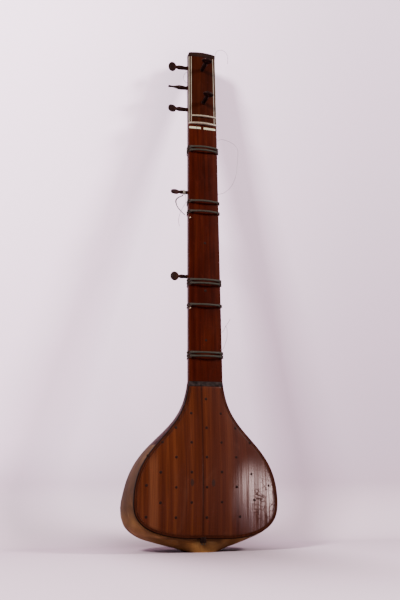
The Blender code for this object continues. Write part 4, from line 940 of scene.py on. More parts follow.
# %% Face of the neck
INLAY_DEPTH, STRIPE_WIDTH, STRIPE_INSET = 0.0010, 0.0018, 0.0065
CORNER_WIDTH, CORNER_DEPTH, POST_INSET = 0.0016, 0.0025, 0.0025
INLAY_SPANS = {"inlay_left": (-0.0370, -0.0178), "inlay_middle": (-0.0165, -0.0062), "inlay_right": (0.0018, 0.0344)}
inlay_low, inlay_high = NUT_Z - 0.0153, NUT_Z - 0.0153 + 0.0056
stripe_low, stripe_high = NUT_Z + NUT_LENGTH / 2 + 3 * GAP, CAP_Z - 3 * GAP


def face_section(z, columns=28, edge=0.0010):
    """A level section of the face plate: crowned in front, flat behind, its long edges rounded."""
    half = neck_half(z)
    corner = []
    for k in range(5):
        turn = math.pi / 2 * k / 5
        x = half - edge * (1 - math.cos(turn))
        corner.append(Vector((x, face_y(x, z) + edge * (1 - math.sin(turn)), z)))
    across = [(half - edge) * (2 * k / columns - 1) for k in range(columns + 1)]
    front = [Vector((x, face_y(x, z), z)) for x in across]
    left = [Vector((-point.x, point.y, z)) for point in corner]
    back = PLATE_THICKNESS - FACE_TO_FOOT
    return left + front + list(reversed(corner)) + [Vector((half, back, z)), Vector((-half, back, z))]


def strip_rings(spans, outer, depth, steps=10):
    """Sections of a strip let into the face. Spans are (left, right, z), 'outer' is how proud it stands."""
    rings = []
    for left, right, z in spans:
        across = [left + (right - left) * k / steps for k in range(steps + 1)]
        rings.append([Vector((x, face_y(x, z) - outer, z)) for x in across]
                     + [Vector((x, face_y(x, z) + depth, z)) for x in reversed(across)])
    return rings


def groove(spans):
    low, high = spans[0], spans[-1]
    room = [(low[0] - GAP, low[1] + GAP, low[2] - GAP), (high[0] - GAP, high[1] + GAP, high[2] + GAP)]
    return lofted("groove", strip_rings(room, 2 * INLAY_DEPTH, INLAY_DEPTH + GAP))


def corner_rings(side, low, high, width, depth, proud):
    """Sections of the bone strip that forms a long edge of the head's face."""
    rings = []
    for z in levels_between(low, high, 0.03):
        inner, outer = side * (neck_half(z) - width), side * (neck_half(z) + proud)
        rings.append([
            Vector((inner, face_y(inner, z) - proud, z)), Vector((outer, -FACE_TO_FOOT - proud, z)),
            Vector((outer, depth - FACE_TO_FOOT, z)), Vector((inner, depth - FACE_TO_FOOT, z)),
        ])
    return rings


def stripe_spans(side):
    spans = []
    for z in levels_between(stripe_low, stripe_high, 0.03):
        middle = side * (neck_half(z) - STRIPE_INSET)
        spans.append((middle - STRIPE_WIDTH / 2, middle + STRIPE_WIDTH / 2, z))
    return spans


inlay_spans = {name: [(left, right, inlay_low), (left, right, inlay_high)] for name, (left, right) in INLAY_SPANS.items()}
drills = bmesh.new()
for z in POSTS.values():
    x = -neck_half(z) + POST_INSET
    rod(drills, 0.0016, -0.0033, 0.0060, Matrix.Translation((x, face_y(x, z), z)) @ TO_FRONT)
plate_rings = [face_section(z) for z in levels_between(NECK_BOTTOM_Z, NUT_Z - NUT_LENGTH / 2 - GAP, 0.02)]
cuts = [groove(spans) for spans in inlay_spans.values()] + [closed_piece("pin_drills", drills)]
neck_face = worked(lofted("neck_face", plate_rings), cuts)
placed(neck_face, dark_varnish, "neck_plate")

drills = bmesh.new()
for name in FRONT_PEGS:
    rod(drills, PEG_BORE / 2, -2 * PLATE_THICKNESS, PLATE_THICKNESS, front_peg_frame(name)[0])
cuts = [closed_piece("front_drills", drills)] + [groove(stripe_spans(side)) for side in (-1, 1)]
for side in (-1, 1):
    cuts.append(lofted("corner_room", corner_rings(side, stripe_low - GAP, stripe_high + GAP, CORNER_WIDTH + GAP,
                                                   CORNER_DEPTH + GAP, INLAY_DEPTH)))
plate_rings = [face_section(z) for z in levels_between(NUT_Z + NUT_LENGTH / 2 + GAP, CAP_Z - GAP, 0.02)]
head_face = worked(lofted("head_face", plate_rings), cuts)
head_varnish = neck_varnish("head_varnish", (0.0052, 0.0009, 0.0004), (0.0098, 0.0016, 0.0006), (0.0156, 0.0030, 0.0011))
placed(head_face, head_varnish, "head_plate")

# %% [markdown]
# Bone and pearl are let into the face. Old bone isn't white: it has yellowed, and dirt sits in its
# pores. The small plates under the nut shimmer greenish white, and the lines along the head are grey
# and worn. A tiny bevel on every edge keeps the strips from looking printed on.

# %% Bone and pearl
pearl = patchy("pearl", (0.125, 0.115, 0.072), (0.235, 0.225, 0.150), 230, 0.35, coat=0.0, depth=0.00008)
grey_bone = patchy("grey_bone", (0.050, 0.043, 0.030), (0.125, 0.110, 0.080), 160, 0.5, coat=0.0, stretch=(1, 1, 0.3))
for name, spans in inlay_spans.items():
    plate = worked(lofted("pearl_" + name[6:], strip_rings(spans, 0.0, INLAY_DEPTH)), bevel=0.00015)
    placed(plate, pearl, name)
for side, word in ((-1, "left"), (1, "right")):
    line = worked(lofted("bone_line_" + word, strip_rings(stripe_spans(side), 0.0, INLAY_DEPTH, 4)), bevel=0.00015)
    placed(line, grey_bone, "head_stripe_" + word)
    rings = corner_rings(side, stripe_low, stripe_high, CORNER_WIDTH, CORNER_DEPTH, 0.0)
    line = worked(lofted("bone_edge_" + word, rings), bevel=0.0004)
    placed(line, grey_bone, "head_corner_stripe_" + word)

# %% [markdown]
# The nut is an arched bar of bone that stands between the two plates, with a small notch for every
# string. A lower bar above it guided the strings to their pegs. Each is a loft of many sections whose
# top is a half oval, drawn smaller at both ends to round them, and pressed down where a string lay.

# %% Nut and string guide
def arched_bar(name, z, length, left, right, base, stand, rise, notches):
    stations = {left + (right - left) * k / 80 for k in range(81)}
    for end, inward in ((left, 1), (right, -1)):
        stations |= {end + inward * step for step in (0.0001, 0.0002, 0.0004, 0.0006)}
    for notch in notches:
        stations |= {notch + step * 0.0007 for step in (-1, -0.7, -0.35, 0, 0.35, 0.7, 1)}
    rings = []
    for x in sorted(stations):
        share = (2 * x - left - right) / (right - left)
        top = -stand - PLATE_CROWN * (1 - (x / neck_half(z)) ** 2) - rise * (1 - share ** 2)
        near_end = min(1.0, min(x - left, right - x) / 0.0007)
        less = 0.0007 * (1 - math.sqrt(1 - (1 - near_end) ** 2))
        dip = sum(0.0009 * max(0.0, 1 - ((x - notch) / 0.0007) ** 2) for notch in notches)
        half = length / 2 - less
        ring = [Vector((x, base(x) - FACE_TO_FOOT, z - half)), Vector((x, base(x) - FACE_TO_FOOT, z + half))]
        for k in range(11):
            turn = math.pi * k / 10
            lift = top + less + dip + 0.0012 * (1 - math.sin(turn))
            ring.append(Vector((x, lift - FACE_TO_FOOT, z + half * math.cos(turn))))
        rings.append(ring)
    return lofted(name, rings)


old_bone = patchy("old_bone", (0.062, 0.045, 0.030), (0.130, 0.102, 0.072), 130, 0.45, coat=0.05, stretch=(0.6, 1, 1))
string_spots = [-0.0300, -0.0205, -0.0110, -0.0015, 0.0080, 0.0175, 0.0270]
nut = arched_bar("bone_nut", NUT_Z, NUT_LENGTH, -neck_half(NUT_Z), neck_half(NUT_Z), lambda x: PLATE_THICKNESS,
                 0.0022, 0.0050, string_spots)
placed(nut, old_bone, "nut")
guide_z = NUT_Z + 0.0220
guide = arched_bar("bone_guide", guide_z, 0.0040, -0.0300, neck_half(guide_z),
                   lambda x: face_y(x, guide_z) + FACE_TO_FOOT - GAP, 0.0018, 0.0035, string_spots[1:])
placed(guide, old_bone, "string_guide")

# %% [markdown]
# The end of the head is a small arched block with a fine groove above its base. Its sections are the
# neck's own outline, drawn in step by step for the groove and the round top. Smaller and smaller rings
# carry on over the top, so the arch is smooth and no large flat face is left.

# %% Cap of the head
CAP_HEIGHT = 0.012


def cap_ring(lift, inset, share=1.0):
    half = neck_half(CAP_Z)
    path = [Vector((p.x, p.y + FACE_TO_FOOT)) for p in neck_path(CAP_Z, -inset, inset)]
    for k in range(1, 24):
        x = (half - inset) * (1 - 2 * k / 24)
        path.append(Vector((x, -PLATE_CROWN * (1 - (x / half) ** 2) + inset)))
    middle = Vector((0.0, neck_depth(CAP_Z) / 2))
    ring = []
    for point in path:
        point = middle.lerp(point, share)
        arch = 0.25 * lift * (1 - (point.x / half) ** 2)
        ring.append(Vector((point.x, point.y - FACE_TO_FOOT, CAP_Z + lift + arch)))
    return ring


profile = [(0.0, 0.0003), (0.0003, 0.0), (0.0012, 0.0), (0.0014, 0.0006), (0.0020, 0.0006), (0.0022, 0.0)]
profile += [(0.0060, 0.0)]
profile += [(CAP_HEIGHT - 0.0032 * (1 - math.sin(math.pi / 2 * k / 7)), 0.0026 * (1 - math.cos(math.pi / 2 * k / 7)))
            for k in range(8)]
cap_rings = [cap_ring(lift, inset) for lift, inset in profile]
cap_rings += [cap_ring(CAP_HEIGHT, 0.0026, 1 - k / 10) for k in range(1, 10)]
cap = lofted("head_end", cap_rings)
dark_wood = neck_varnish("dark_wood", (0.0030, 0.0014, 0.0012), (0.0060, 0.0026, 0.0021), (0.0110, 0.0046, 0.0034), 0.30)
placed(cap, dark_wood, "head_cap")

# %% [markdown]
# A tuning peg is turned on a lathe: a tapered shaft with a collar at the neck, a swelling, a narrow
# waist, and then a flat disc for the fingers, carved from the same wood. Sections along its axis
# describe all of that. They change from circles on the shaft to flat, squarer ovals in the disc.

# %% Pegs
COLLAR = ((0.0004, 0.0040), (0.0006, 0.0047), (0.0010, 0.0050), (0.0018, 0.0052), (0.0026, 0.0050),
          (0.0030, 0.0047), (0.0032, 0.0042))
SHAFT = ((0.0, 0.82), (0.10, 0.86), (0.45, 1.0), (0.78, 0.96), (0.93, 0.76), (1.0, 0.74))
DISC_LENGTH = 0.0215
DISC_THICKNESS = ((0.0, 0.0043), (0.14, 0.0035), (0.30, 0.0028), (0.50, 0.0024), (0.78, 0.0027), (0.90, 0.0031),
                  (1.0, 0.0020))


def peg_sections(inside, reach, swell, half_width):
    """(place, half width, half thickness, squareness) along a peg. Zero is the outside of the neck."""
    head = reach - DISC_LENGTH
    found = [(-inside, 0.0023, 0.0023, 2.0), (-inside + 0.0006, 0.0029, 0.0029, 2.0)]
    found += [(-inside * (1 - k / 6), 0.0029 + 0.0016 * k / 6, 0.0029 + 0.0016 * k / 6, 2.0) for k in range(1, 7)]
    found += [(place, radius * swell / PEG_SWELL, radius * swell / PEG_SWELL, 2.0) for place, radius in COLLAR]
    for k in range(1, 22):
        radius = swell * smooth_table(SHAFT, k / 22)
        found.append((0.0033 + (head - 0.0033) * k / 22, radius, radius, 2.0))
    for k in range(31):
        turn = 0.335 + (math.pi - 0.335 - 0.14) * k / 30
        share = 0.5 - 0.5 * math.cos(turn)
        thick = smooth_table(DISC_THICKNESS, share)
        found.append((head + DISC_LENGTH * share, half_width * math.sin(turn), thick, 2.0 + 1.4 * eased(share, 0.0, 0.25)))
    return found


def turned_peg(name, place, inside, shape, turn, sides=40):
    matrix = place @ Matrix.Rotation(math.radians(turn), 4, "Z")
    rings = []
    for along, half_width, half_thickness, power in peg_sections(inside, *shape):
        ring = []
        for k in range(sides):
            x, y = math.cos(2 * math.pi * k / sides), math.sin(2 * math.pi * k / sides)
            x = half_width * math.copysign(abs(x) ** (2 / power), x)
            y = half_thickness * math.copysign(abs(y) ** (2 / power), y)
            ring.append(matrix @ Vector((x, y, along)))
        rings.append(ring)
    return lofted(name, rings, 40)


peg_wood = neck_varnish("peg_wood", (0.0030, 0.0014, 0.0012), (0.0058, 0.0023, 0.0018), (0.0120, 0.0046, 0.0032), 0.28)
for name, (_, shape, turn) in SIDE_PEGS.items():
    spot, inside = side_peg_frame(name)
    placed(turned_peg("turned_" + name, spot, inside, shape, turn), peg_wood, name)
for name, (_, _, turn) in FRONT_PEGS.items():
    spot, inside = front_peg_frame(name)
    placed(turned_peg("turned_" + name, spot, inside, FRONT_PEG, turn - 90), peg_wood, name)

# %% [markdown]
# What repeats or follows a rule is grown by a tree of geometry nodes. The tree is built here in script
# and its named inputs hold the numbers, so one tree makes all nine frets. The result is turned into
# plain mesh for each body, because every fret slides on its own.


# %% A helper for geometry nodes
class Tree:
    """A tree of geometry nodes with named number inputs, and short ways to add nodes."""

    def __init__(self, name, **inputs):
        self.group = bpy.data.node_groups.new(name, "GeometryNodeTree")
        sockets = self.group.interface
        sockets.new_socket("Geometry", in_out="INPUT", socket_type="NodeSocketGeometry")
        sockets.new_socket("Geometry", in_out="OUTPUT", socket_type="NodeSocketGeometry")
        for label, value in inputs.items():
            kind = "NodeSocketInt" if isinstance(value, int) else "NodeSocketFloat"
            made = sockets.new_socket(label, in_out="INPUT", socket_type=kind)
            made.default_value = value
        self.start = self.group.nodes.new("NodeGroupInput")
        self.end = self.group.nodes.new("NodeGroupOutput")

    def given(self, label="Geometry"):
        return self.start.outputs[label]

    def node(self, kind, inputs=None, output=0, **settings):
        made = self.group.nodes.new(kind)
        for key, value in settings.items():
            setattr(made, key, value)
        for key, value in (inputs or {}).items():
            if isinstance(value, bpy.types.NodeSocket):
                self.group.links.new(value, made.inputs[key])
            else:
                made.inputs[key].default_value = value
        return made.outputs[output]

    def math(self, operation, a, b=0.0):
        return self.node("ShaderNodeMath", {0: a, 1: b}, operation=operation)

    def close(self, geometry, finish):
        """Every tree ends the same way: real geometry instead of instances, and its finish."""
        real = self.node("GeometryNodeRealizeInstances", {0: geometry})
        self.group.links.new(self.node("GeometryNodeSetMaterial", {0: real, 2: finish}), self.end.inputs[0])


def grown(name, tree, base, **values):
    """Runs a tree on a base mesh and gives back its result as a plain piece."""
    holder = bpy.data.objects.new(name, base)
    bpy.context.scene.collection.objects.link(holder)
    step = holder.modifiers.new("grow", "NODES")
    step.node_group = tree.group
    for item in tree.group.interface.items_tree:
        if item.in_out == "INPUT" and item.name in values:
            step[item.identifier] = values[item.name]
    made = bpy.data.meshes.new_from_object(holder.evaluated_get(bpy.context.evaluated_depsgraph_get()))
    holder.modifiers.remove(step)
    bpy.data.objects.remove(holder)
    work = bmesh.new()
    work.from_mesh(made)
    bpy.data.meshes.remove(made)
    return closed_piece(name, work, 50)


print("helper for geometry nodes ready")

# %% [markdown]
# A fret is an arched bar of brass, oval in section and dull with age. The tree draws an arc through
# three points and sweeps the oval along it. A scale along the sweep rounds the two ends and wears a
# shallow dip where the thread crosses. Cast bars look like this, and one tree keeps all nine alike.

# %% Frets
FRET_WIDTH, FRET_THICKNESS, FRET_RISE, FRET_INSET, FRET_LIFT = 0.0052, 0.0044, 0.0090, 0.0010, 0.0002
TIE_HOOK, PAIR_STEP = 0.0036, 0.0090
FRET_PLACES = {
    "1_upper": (0.8992, 0.0), "1_lower": (0.8992, -PAIR_STEP), "2": (0.6800, 0.0), "3": (0.6393, 0.0),
    "4_upper": (0.3734, 0.0), "4_lower": (0.3734, -PAIR_STEP), "5": (0.2797, 0.0),
    "6_upper": (0.1030, 0.0), "6_lower": (0.1030, -PAIR_STEP),
}


def fret_arc(z):
    """Half span, radius and end depth of a fret's centre line, which rests on the face's two edges."""
    span = neck_half(z) - FRET_INSET
    radius = (span ** 2 + FRET_RISE ** 2) / (2 * FRET_RISE)
    slope = math.asin(span / radius)
    seat = PLATE_CROWN * (1 - (span / neck_half(z)) ** 2)
    return span, radius, -(FRET_THICKNESS / 2 * math.cos(slope) + GAP + seat + FRET_LIFT)


def fret_depth(z, x):
    """Depth of the middle of the bar at a place across the neck."""
    span, radius, end = fret_arc(z)
    return end - (math.sqrt(radius ** 2 - x ** 2) - math.sqrt(radius ** 2 - span ** 2))


bar = Tree("fret_bar", Span=0.037, Depth=-0.003, Height=0.5)
ends = [bar.node("ShaderNodeCombineXYZ", {0: x, 1: bar.given("Depth"), 2: bar.given("Height")})
        for x in (bar.math("MULTIPLY", bar.given("Span"), -1.0), bar.given("Span"))]
top = bar.node("ShaderNodeCombineXYZ", {1: bar.math("SUBTRACT", bar.given("Depth"), FRET_RISE), 2: bar.given("Height")})
arc = bar.node("GeometryNodeCurveArc", {0: 161, 1: ends[0], 2: top, 3: ends[1]}, mode="POINTS")
arc = bar.node("GeometryNodeSetCurveNormal", {0: arc}, mode="Z_UP")
along = bar.node("GeometryNodeSplineParameter")
from_end = bar.math("MINIMUM", along, bar.math("SUBTRACT", 1.0, along))
from_end = bar.math("MULTIPLY", from_end, bar.math("MULTIPLY", bar.given("Span"), 2.04))
short = bar.math("MAXIMUM", bar.math("SUBTRACT", 1.0, bar.math("DIVIDE", from_end, 0.0022)), 0.0)
rounded = bar.math("MAXIMUM", bar.math("SQRT", bar.math("SUBTRACT", 1.0, bar.math("MULTIPLY", short, short))), 0.22)
off_hook = bar.math("DIVIDE", bar.math("SUBTRACT", from_end, TIE_HOOK), 0.0016)
worn = bar.math("EXPONENT", bar.math("MULTIPLY", bar.math("MULTIPLY", off_hook, off_hook), -1.0))
size = bar.math("SUBTRACT", rounded, bar.math("MULTIPLY", worn, 0.07))
oval = bar.node("GeometryNodeCurvePrimitiveCircle", {0: 24, 4: 1.0})
oval = bar.node("GeometryNodeTransform", {0: oval, 3: (FRET_THICKNESS / 2, FRET_WIDTH / 2, 1.0)})
swept = bar.node("GeometryNodeCurveToMesh", {0: arc, 1: oval, 2: size, 3: True})
old_brass = patchy("old_brass", (0.0066, 0.0059, 0.0042), (0.0170, 0.0150, 0.0105), 210, 0.6, metallic=0.1, specular=0.06)
bar.close(swept, old_brass)
FRETS = {name: NECK_BOTTOM_Z + share * NECK_LENGTH + step for name, (share, step) in FRET_PLACES.items()}
for name, z in FRETS.items():
    span, _, end = fret_arc(z)
    empty = bpy.data.meshes.new("seed")
    fret = grown("bar_" + name, bar, empty, Span=span, Depth=end - FACE_TO_FOOT, Height=z)
    placed(fret, old_brass, "fret_" + name)
print("bar", [round(1000 * v, 1) for v in fret.dimensions], "mm")

# %% [markdown]
# Each fret is tied on with a waxed thread: five turns round the neck that hook over both ends of the
# bar, bound together at each side of the neck with a tight coil and left with two short ends. A tree
# turns every drawn line into thread, so only the lines have to be written: loops, coils and ends.

# %% Ties
THREAD = 0.00062
LAYERS = ((0, 0), (1, 0), (0.5, 0.87), (0, 1.74), (1, 1.74))     # beside the bar and off the neck, in threads
COIL_RADIUS, COIL_REACH, COIL_DEPTH = 0.0014, 0.0033, 0.0040


def loop_line(z, beside_turns, off_turns, hook):
    """One turn of thread: over the bar's left end, round the neck, over its right end and back."""
    out = GAP + THREAD * (0.5 + off_turns)
    beside = FRET_WIDTH / 2 + 0.0001 + THREAD * (0.5 + beside_turns)
    over = FRET_THICKNESS / 2 + THREAD * (0.55 + off_turns)
    middle = fret_depth(z, hook)
    round_back = [(p.x, p.y) for p in neck_path(z, out, -0.0012, 56)]
    line = []
    for side in (-1, 1):
        for k in range(13):
            turn = math.pi * k / 12
            height = side * beside * math.cos(turn)
            line.append(Vector((side * hook, middle - over * math.sin(turn) - FACE_TO_FOOT, z + height)))
        line += [Vector((side * x, y, z - side * beside)) for x, y in (round_back if side < 0 else [])]
        line += [Vector((x, y, z - beside)) for x, y in (reversed(round_back) if side > 0 else [])]
    return line


def coil_line(z, side):
    """A tight coil that binds the turns together beside the neck."""
    centre = Vector((side * (neck_half(z) + 0.0022), COIL_DEPTH - FACE_TO_FOOT, z))
    turns = 2 * COIL_REACH / (THREAD * 1.04)
    line = []
    for k in range(int(16 * turns) + 1):
        angle = 2 * math.pi * k / 16
        rise = -COIL_REACH + THREAD * 1.04 * k / 16
        swell = COIL_RADIUS + 0.00025 * math.cos(math.pi * rise / (2 * COIL_REACH))
        line.append(centre + Vector((swell * math.cos(angle), 1.5 * swell * math.sin(angle), rise)))
    return line


def end_line(z, side, lean):
    """A short loose end of the knot."""
    start = Vector((side * (neck_half(z) + 0.0028), COIL_DEPTH - 0.0016 - FACE_TO_FOOT, z + 0.0012 * lean))
    steps = ((0, 0, 0), (0.0006, -0.0006, 0.0003), (0.0009, -0.0010, 0.0012), (0.0006, -0.0009, 0.0022),
             (0.0002, -0.0006, 0.0029))
    return smooth_route([start + Vector((side * x, y, lean * rise)) for x, y, rise in steps], 12)[0]


def lines_mesh(name, closed, open_lines):
    """A mesh of bare edges, one chain for each line."""
    points, edges = [], []
    for line, is_closed in [(line, True) for line in closed] + [(line, False) for line in open_lines]:
        first = len(points)
        points += line
        edges += [(first + k, first + k + 1) for k in range(len(line) - 1)]
        if is_closed:
            edges.append((len(points) - 1, first))
    mesh = bpy.data.meshes.new(name)
    mesh.from_pydata(points, edges, [])
    return mesh


thread_tree = Tree("thread", Thickness=THREAD)
lines = thread_tree.node("GeometryNodeMeshToCurve", {0: thread_tree.given()})
ring = thread_tree.node("GeometryNodeCurvePrimitiveCircle", {0: 7, 4: thread_tree.math("DIVIDE", thread_tree.given("Thickness"), 2.0)})
waxed = patchy("waxed_thread", (0.009, 0.0068, 0.0054), (0.025, 0.0180, 0.0135), 420, 0.8, specular=0.08)
thread_tree.close(thread_tree.node("GeometryNodeCurveToMesh", {0: lines, 1: ring, 3: True}), waxed)
for name, z in FRETS.items():
    span = fret_arc(z)[0]
    loops = [loop_line(z, beside, off, span - TIE_HOOK + (j - 2) * THREAD * 1.15)
             for j, (beside, off) in enumerate(LAYERS)]
    loose = [coil_line(z, side) for side in (-1, 1)] + [end_line(z, 1, lean) for lean in (-1, 1)]
    tie = grown("thread_" + name, thread_tree, lines_mesh("lines", loops, loose), Thickness=THREAD)
    placed(tie, waxed, "tie_" + name)

# %% [markdown]
# Two small bone pins at the left edge carried the drone strings over the face, and a dark wooden hitch
# under the soundboard held all strings' lower ends on two pins. The pins are turned profiles. The
# hitch is an angled block: its side view, drawn through, with its edges broken and three grooves cut.

# %% Pins and tail hitch
PIN_PROFILE = ((-0.0030, 0.0010), (-0.0028, 0.0013), (0.0002, 0.0013), (0.0006, 0.0011), (0.0030, 0.00095),
               (0.0040, 0.0010), (0.0043, 0.0013), (0.0050, 0.00135), (0.0055, 0.0012), (0.0058, 0.0009),
               (0.0060, 0.0004))


def turned(name, profile, matrix, sides=28):
    rings = [[matrix @ Vector((radius * math.cos(2 * math.pi * k / sides), radius * math.sin(2 * math.pi * k / sides), place))
              for k in range(sides)] for place, radius in profile]
    return lofted(name, rings)


light_bone = patchy("light_bone", (0.15, 0.11, 0.070), (0.26, 0.21, 0.14), 260, 0.4)
for name, z in POSTS.items():
    x = -neck_half(z) + POST_INSET
    pin = turned("pin_" + name, PIN_PROFILE, Matrix.Translation((x, face_y(x, z), z)) @ TO_FRONT)
    placed(pin, light_bone, name)

HITCH_LOW, HITCH_HIGH, HITCH_HALF = 0.0230, 0.0360, 0.0065
hitch_face = face_y(SEAM_X, HITCH_HIGH)
hitch_front = hitch_face - 0.0045
side_view = [(hitch_front, HITCH_LOW), (hitch_front, HITCH_HIGH - 0.0012), (hitch_front + 0.0012, HITCH_HIGH),
             (hitch_face - GAP, HITCH_HIGH), (hitch_face - GAP, BOARD_BOTTOM_Z - GAP),
             (RIM - GAP - FACE_TO_FOOT, BOARD_BOTTOM_Z - GAP), (RIM - GAP - FACE_TO_FOOT, HITCH_LOW)]
sections = [[Vector((SEAM_X + HITCH_HALF * (k / 4 - 1), y, z)) for y, z in side_view] for k in range(9)]
grooves = bmesh.new()
for step in (-0.0034, 0.0, 0.0034):
    rod(grooves, 0.0007, 0.0, 0.05, Matrix.Translation((SEAM_X + step, hitch_front, 0.01)), 20)
hitch = worked(lofted("hitch_block", sections), [closed_piece("hitch_grooves", grooves)], bevel=0.0004)
placed(hitch, dark_wood, "tail_hitch")
pin_work = bmesh.new()
for side in (-1, 1):
    middle = Matrix.Translation((SEAM_X + side * 0.0033, hitch_front + 0.00225, HITCH_LOW))
    profile = ((-0.0045, 0.0006), (-0.0043, 0.0011), (-0.0036, 0.0014), (-0.0029, 0.0013), (-0.0024, 0.0009),
               (-0.0003, 0.0009), (0.0015, 0.0009))
    loft(pin_work, [[middle @ Vector((r * math.cos(math.pi * k / 12), r * math.sin(math.pi * k / 12), place))
                     for k in range(24)] for place, r in profile])
placed(closed_piece("hitch_pins", pin_work), old_brass, body=ROOT, slot="fret_brass")

# %% [markdown]
# Rows of small dark discs decorate the soundboard, and three mark places on the neck. They are set by
# hand along a slanted grid, so a few have slipped. A tree puts one thin disc on every point, turned to
# the surface under it, with a slightly different size each. A fixed seed keeps them the same each time.

# %% Inlaid dots
BOARD_DOTS = {0: (0,), 1: (-1, 1), 2: (-2, 0, 2), 3: (-3, -1, 1, 3), 4: (-4, -2, 0, 2), 5: (-3, -1, 1, 3),
              6: (-4, -2, 0, 2, 4), 7: (-3, -1, 1, 3), 8: (-4, -2, 0, 2)}
DOT_SLIPS = {(4, -4): (0.0074, 0.0037), (6, 4): (0.0092, 0.0023), (7, 3): (0.0081, 0.0037), (8, 2): (0.0088, 0.0015),
             (5, 3): (0.0013, -0.0049), (8, -4): (0.0040, 0.0014), (6, -4): (0.0040, 0.0050), (3, -3): (0.0049, 0.0006)}
NECK_DOTS = ((0.0011, 0.7588), (0.0011, 0.6334), (0.0011, 0.5058))
DOT_RADIUS, DOT_THICKNESS = 0.0034, 0.00035
spots, facings = [], []


def dot_at(point, x, z, step=0.001):
    """Adds a place for a dot and the direction that the surface faces there."""
    across = point(x + step, z) - point(x - step, z)
    upwards = point(x, z + step) - point(x, z - step)
    spots.append(point(x, z))
    facings.append(across.cross(upwards).normalized())


for row, columns in BOARD_DOTS.items():
    for column in columns:
        slip_x, slip_z = DOT_SLIPS.get((row, column), (0.0, 0.0))
        x = -0.0016 - 0.00029 * row + 0.0373 * column + slip_x
        dot_at(board_point, x, 0.3595 - 0.0349 * row + slip_z)
for x, z in NECK_DOTS:
    dot_at(lambda x, z: Vector((x, face_y(x, z), z)), x, z)
places = bpy.data.meshes.new("dot_places")
places.from_pydata(spots, [], [])
stored = places.attributes.new("facing", "FLOAT_VECTOR", "POINT")
stored.data.foreach_set("vector", [v for facing in facings for v in facing])
scatter = Tree("dots", Radius=DOT_RADIUS, Seed=7)
disc = scatter.node("GeometryNodeMeshCone", {0: 40, 3: 0.90, 4: 1.0, 5: 1.0})
disc = scatter.node("GeometryNodeTransform", {0: disc, 1: (0, 0, -DOT_THICKNESS * 0.55), 3: (DOT_RADIUS, DOT_RADIUS, DOT_THICKNESS)})
facing = scatter.node("GeometryNodeInputNamedAttribute", {0: "facing"}, data_type="FLOAT_VECTOR")
turned_to = scatter.node("FunctionNodeAlignRotationToVector", {2: facing}, axis="Z")
varied = scatter.node("FunctionNodeRandomValue", {2: 0.93, 3: 1.05, 8: scatter.given("Seed")}, 1, data_type="FLOAT")
dots = scatter.node("GeometryNodeInstanceOnPoints", {0: scatter.given(), 2: disc, 5: turned_to, 6: varied})
dot_wood = patchy("dot_wood", (0.0030, 0.0011, 0.0008), (0.0065, 0.0024, 0.0016), 300, 0.7, specular=0.03)
scatter.close(dots, dot_wood)
placed(grown("inlaid_dots", scatter, places, Radius=DOT_RADIUS, Seed=7), dot_wood, body=ROOT, slot="ebony")
print(len(spots), "dots")

# %% [markdown]
# Two pieces stay out of sight: the block behind the tail hitch and the brace under the soundboard.
# Their solids are already right, so they only get a plain wood finish.

# %% Hidden wood
plain_wood = patchy("plain_wood", (0.24, 0.14, 0.07), (0.42, 0.28, 0.16), 60, 0.6, stretch=(1, 1, 0.2))
for node in ("tail_block", "soundboard_brace"):
    for place in frame["nodes"][node].material_slots:
        place.material = plain_wood
print("hidden wood dressed")

# %% [markdown]
# The instrument leans against nothing here, so the sheet of pale paper behind it leans instead: it
# lies flat, curves up and then tips a little forwards, as close behind the head as in the photograph.
# Painted shade makes its tone fall off to the right and towards the floor, and a soft painted shadow lies
# under the gourd. Seen from behind, the paper is clear, so the back of the instrument can be looked at too.

# %% Paper
PAPER_FOOT_Y, PAPER_LEAN, PAPER_BEND = 0.405, 0.298, 0.13


def paper_profile():
    """Points (y, z) of the sheet's side view: floor, round bend, leaning wall."""
    wall = Vector((-PAPER_LEAN, 1.0)).normalized()
    turn = math.pi / 2 + math.atan(PAPER_LEAN)
    reach = PAPER_BEND * math.tan(turn / 2)
    points = [Vector((y, 0.0)) for y in (-3.2, -2.0, -1.2, -0.6, -0.3)]
    centre = Vector((PAPER_FOOT_Y - reach, PAPER_BEND))
    points += [centre + PAPER_BEND * Vector((math.sin(turn * k / 16), -math.cos(turn * k / 16))) for k in range(17)]
    last = points[-1]
    return points + [last + wall * step for step in (0.3, 0.7, 1.1, 1.7)]


work = bmesh.new()
rows = [[work.verts.new((x, y, z - 0.0002)) for x in np.linspace(-3.0, 3.0, 13)] for y, z in paper_profile()]
for low, high in zip(rows, rows[1:]):
    for k in range(12):
        work.faces.new((low[k], low[k + 1], high[k + 1], high[k]))
mesh = bpy.data.meshes.new("paper_sheet")
work.to_mesh(mesh)
work.free()
mesh.shade_smooth()
paper_sheet = bpy.data.objects.new("paper_sheet", mesh)
n = Finish("paper")
tone = n.noise(1.6, 3)
white = n.mix(tone, (0.65, 0.510, 0.62), (0.69, 0.545, 0.66))
# Painted shade: the paper darkens towards the right.
white = n.mix(n.spread(n.axis("X"), -0.55, 0.75), white, (0.355, 0.278, 0.342))
# Painted shade: the paper darkens towards the floor.
white = n.mix(n.spread(n.axis("Z"), 0.30, 0.02), white, (0.36, 0.275, 0.320))
# A soft painted shadow on the floor, under and in front of the gourd.
painted_floor_shadow = n.spread(n.axis("Y"), 0.10, -1.1, 0.85, 0.0)
painted_floor_shadow = n.math("MULTIPLY", painted_floor_shadow, n.math("MULTIPLY", n.spread(n.axis("X"), -0.30, -0.02), n.spread(n.axis("X"), 0.36, 0.06)))
white = n.mix(n.math("MULTIPLY", painted_floor_shadow, n.spread(n.axis("Z"), 0.06, 0.0)), white, (0.11, 0.08, 0.086))
paper = n.finish(white, 0.95, specular=0.1)
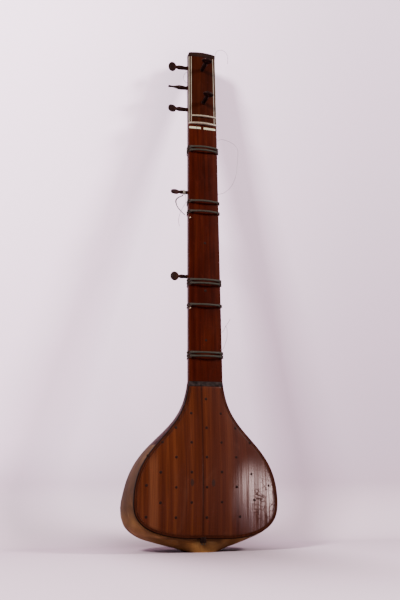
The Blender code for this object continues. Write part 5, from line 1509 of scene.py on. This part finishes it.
n.bump(n.noise(260, 3), 0.0002, 0.15)
clear = n.tree.nodes.new("ShaderNodeBsdfTransparent")
side = n.tree.nodes.new("ShaderNodeNewGeometry")
choice = n.tree.nodes.new("ShaderNodeMixShader")
n.put(choice.inputs[0], side.outputs["Backfacing"])
n.put(choice.inputs[1], n.shader.outputs[0])
n.put(choice.inputs[2], clear.outputs[0])
n.put(n.tree.nodes["Material Output"].inputs["Surface"], choice.outputs[0])
paper_sheet.data.materials.append(paper)
bpy.context.scene.collection.objects.link(paper_sheet)
print("paper normals:", [round(v, 2) for v in mesh.polygons[0].normal], [round(v, 2) for v in mesh.polygons[-1].normal])

# %% [markdown]
# Two soft boxes stand high in front, one at each side, at about 45 degrees. They throw the two pale
# shadows on the paper, and nothing shines straight off the soundboard, so its middle stays rich and
# dark. A small low box at the right gives the sheen at the soundboard's lower right, and a little
# light from all round fills the shadows.

# %% Lights


def soft_box(name, place, aim, size, power, colour):
    lamp = bpy.data.lights.new(name, "AREA")
    lamp.shape = "RECTANGLE"
    lamp.size, lamp.size_y = size
    lamp.energy = power
    lamp.color = colour
    holder = bpy.data.objects.new(name, lamp)
    holder.location = place
    holder.rotation_euler = (Vector(aim) - Vector(place)).to_track_quat("-Z", "Y").to_euler()
    holder.visible_camera = False
    bpy.context.scene.collection.objects.link(holder)


soft_box("box_left", (-1.85, -1.75, 1.90), (0, 0.10, 0.60), (0.50, 0.60), 320, (1.0, 0.985, 0.98))
soft_box("box_right", (1.85, -1.75, 1.90), (0, 0.10, 0.60), (0.50, 0.60), 232, (1.0, 0.975, 0.975))
soft_box("low_box", (1.30, -2.05, 0.14), (0.13, -0.06, 0.13), (0.46, 0.38), 27.0, (1.0, 0.72, 0.70))
world = bpy.data.worlds.new("studio")
world.use_nodes = True
world.node_tree.nodes["Background"].inputs["Color"].default_value = (0.88, 0.86, 0.92, 1.0)
world.node_tree.nodes["Background"].inputs["Strength"].default_value = 0.05
bpy.context.scene.world = world
print("studio ready")
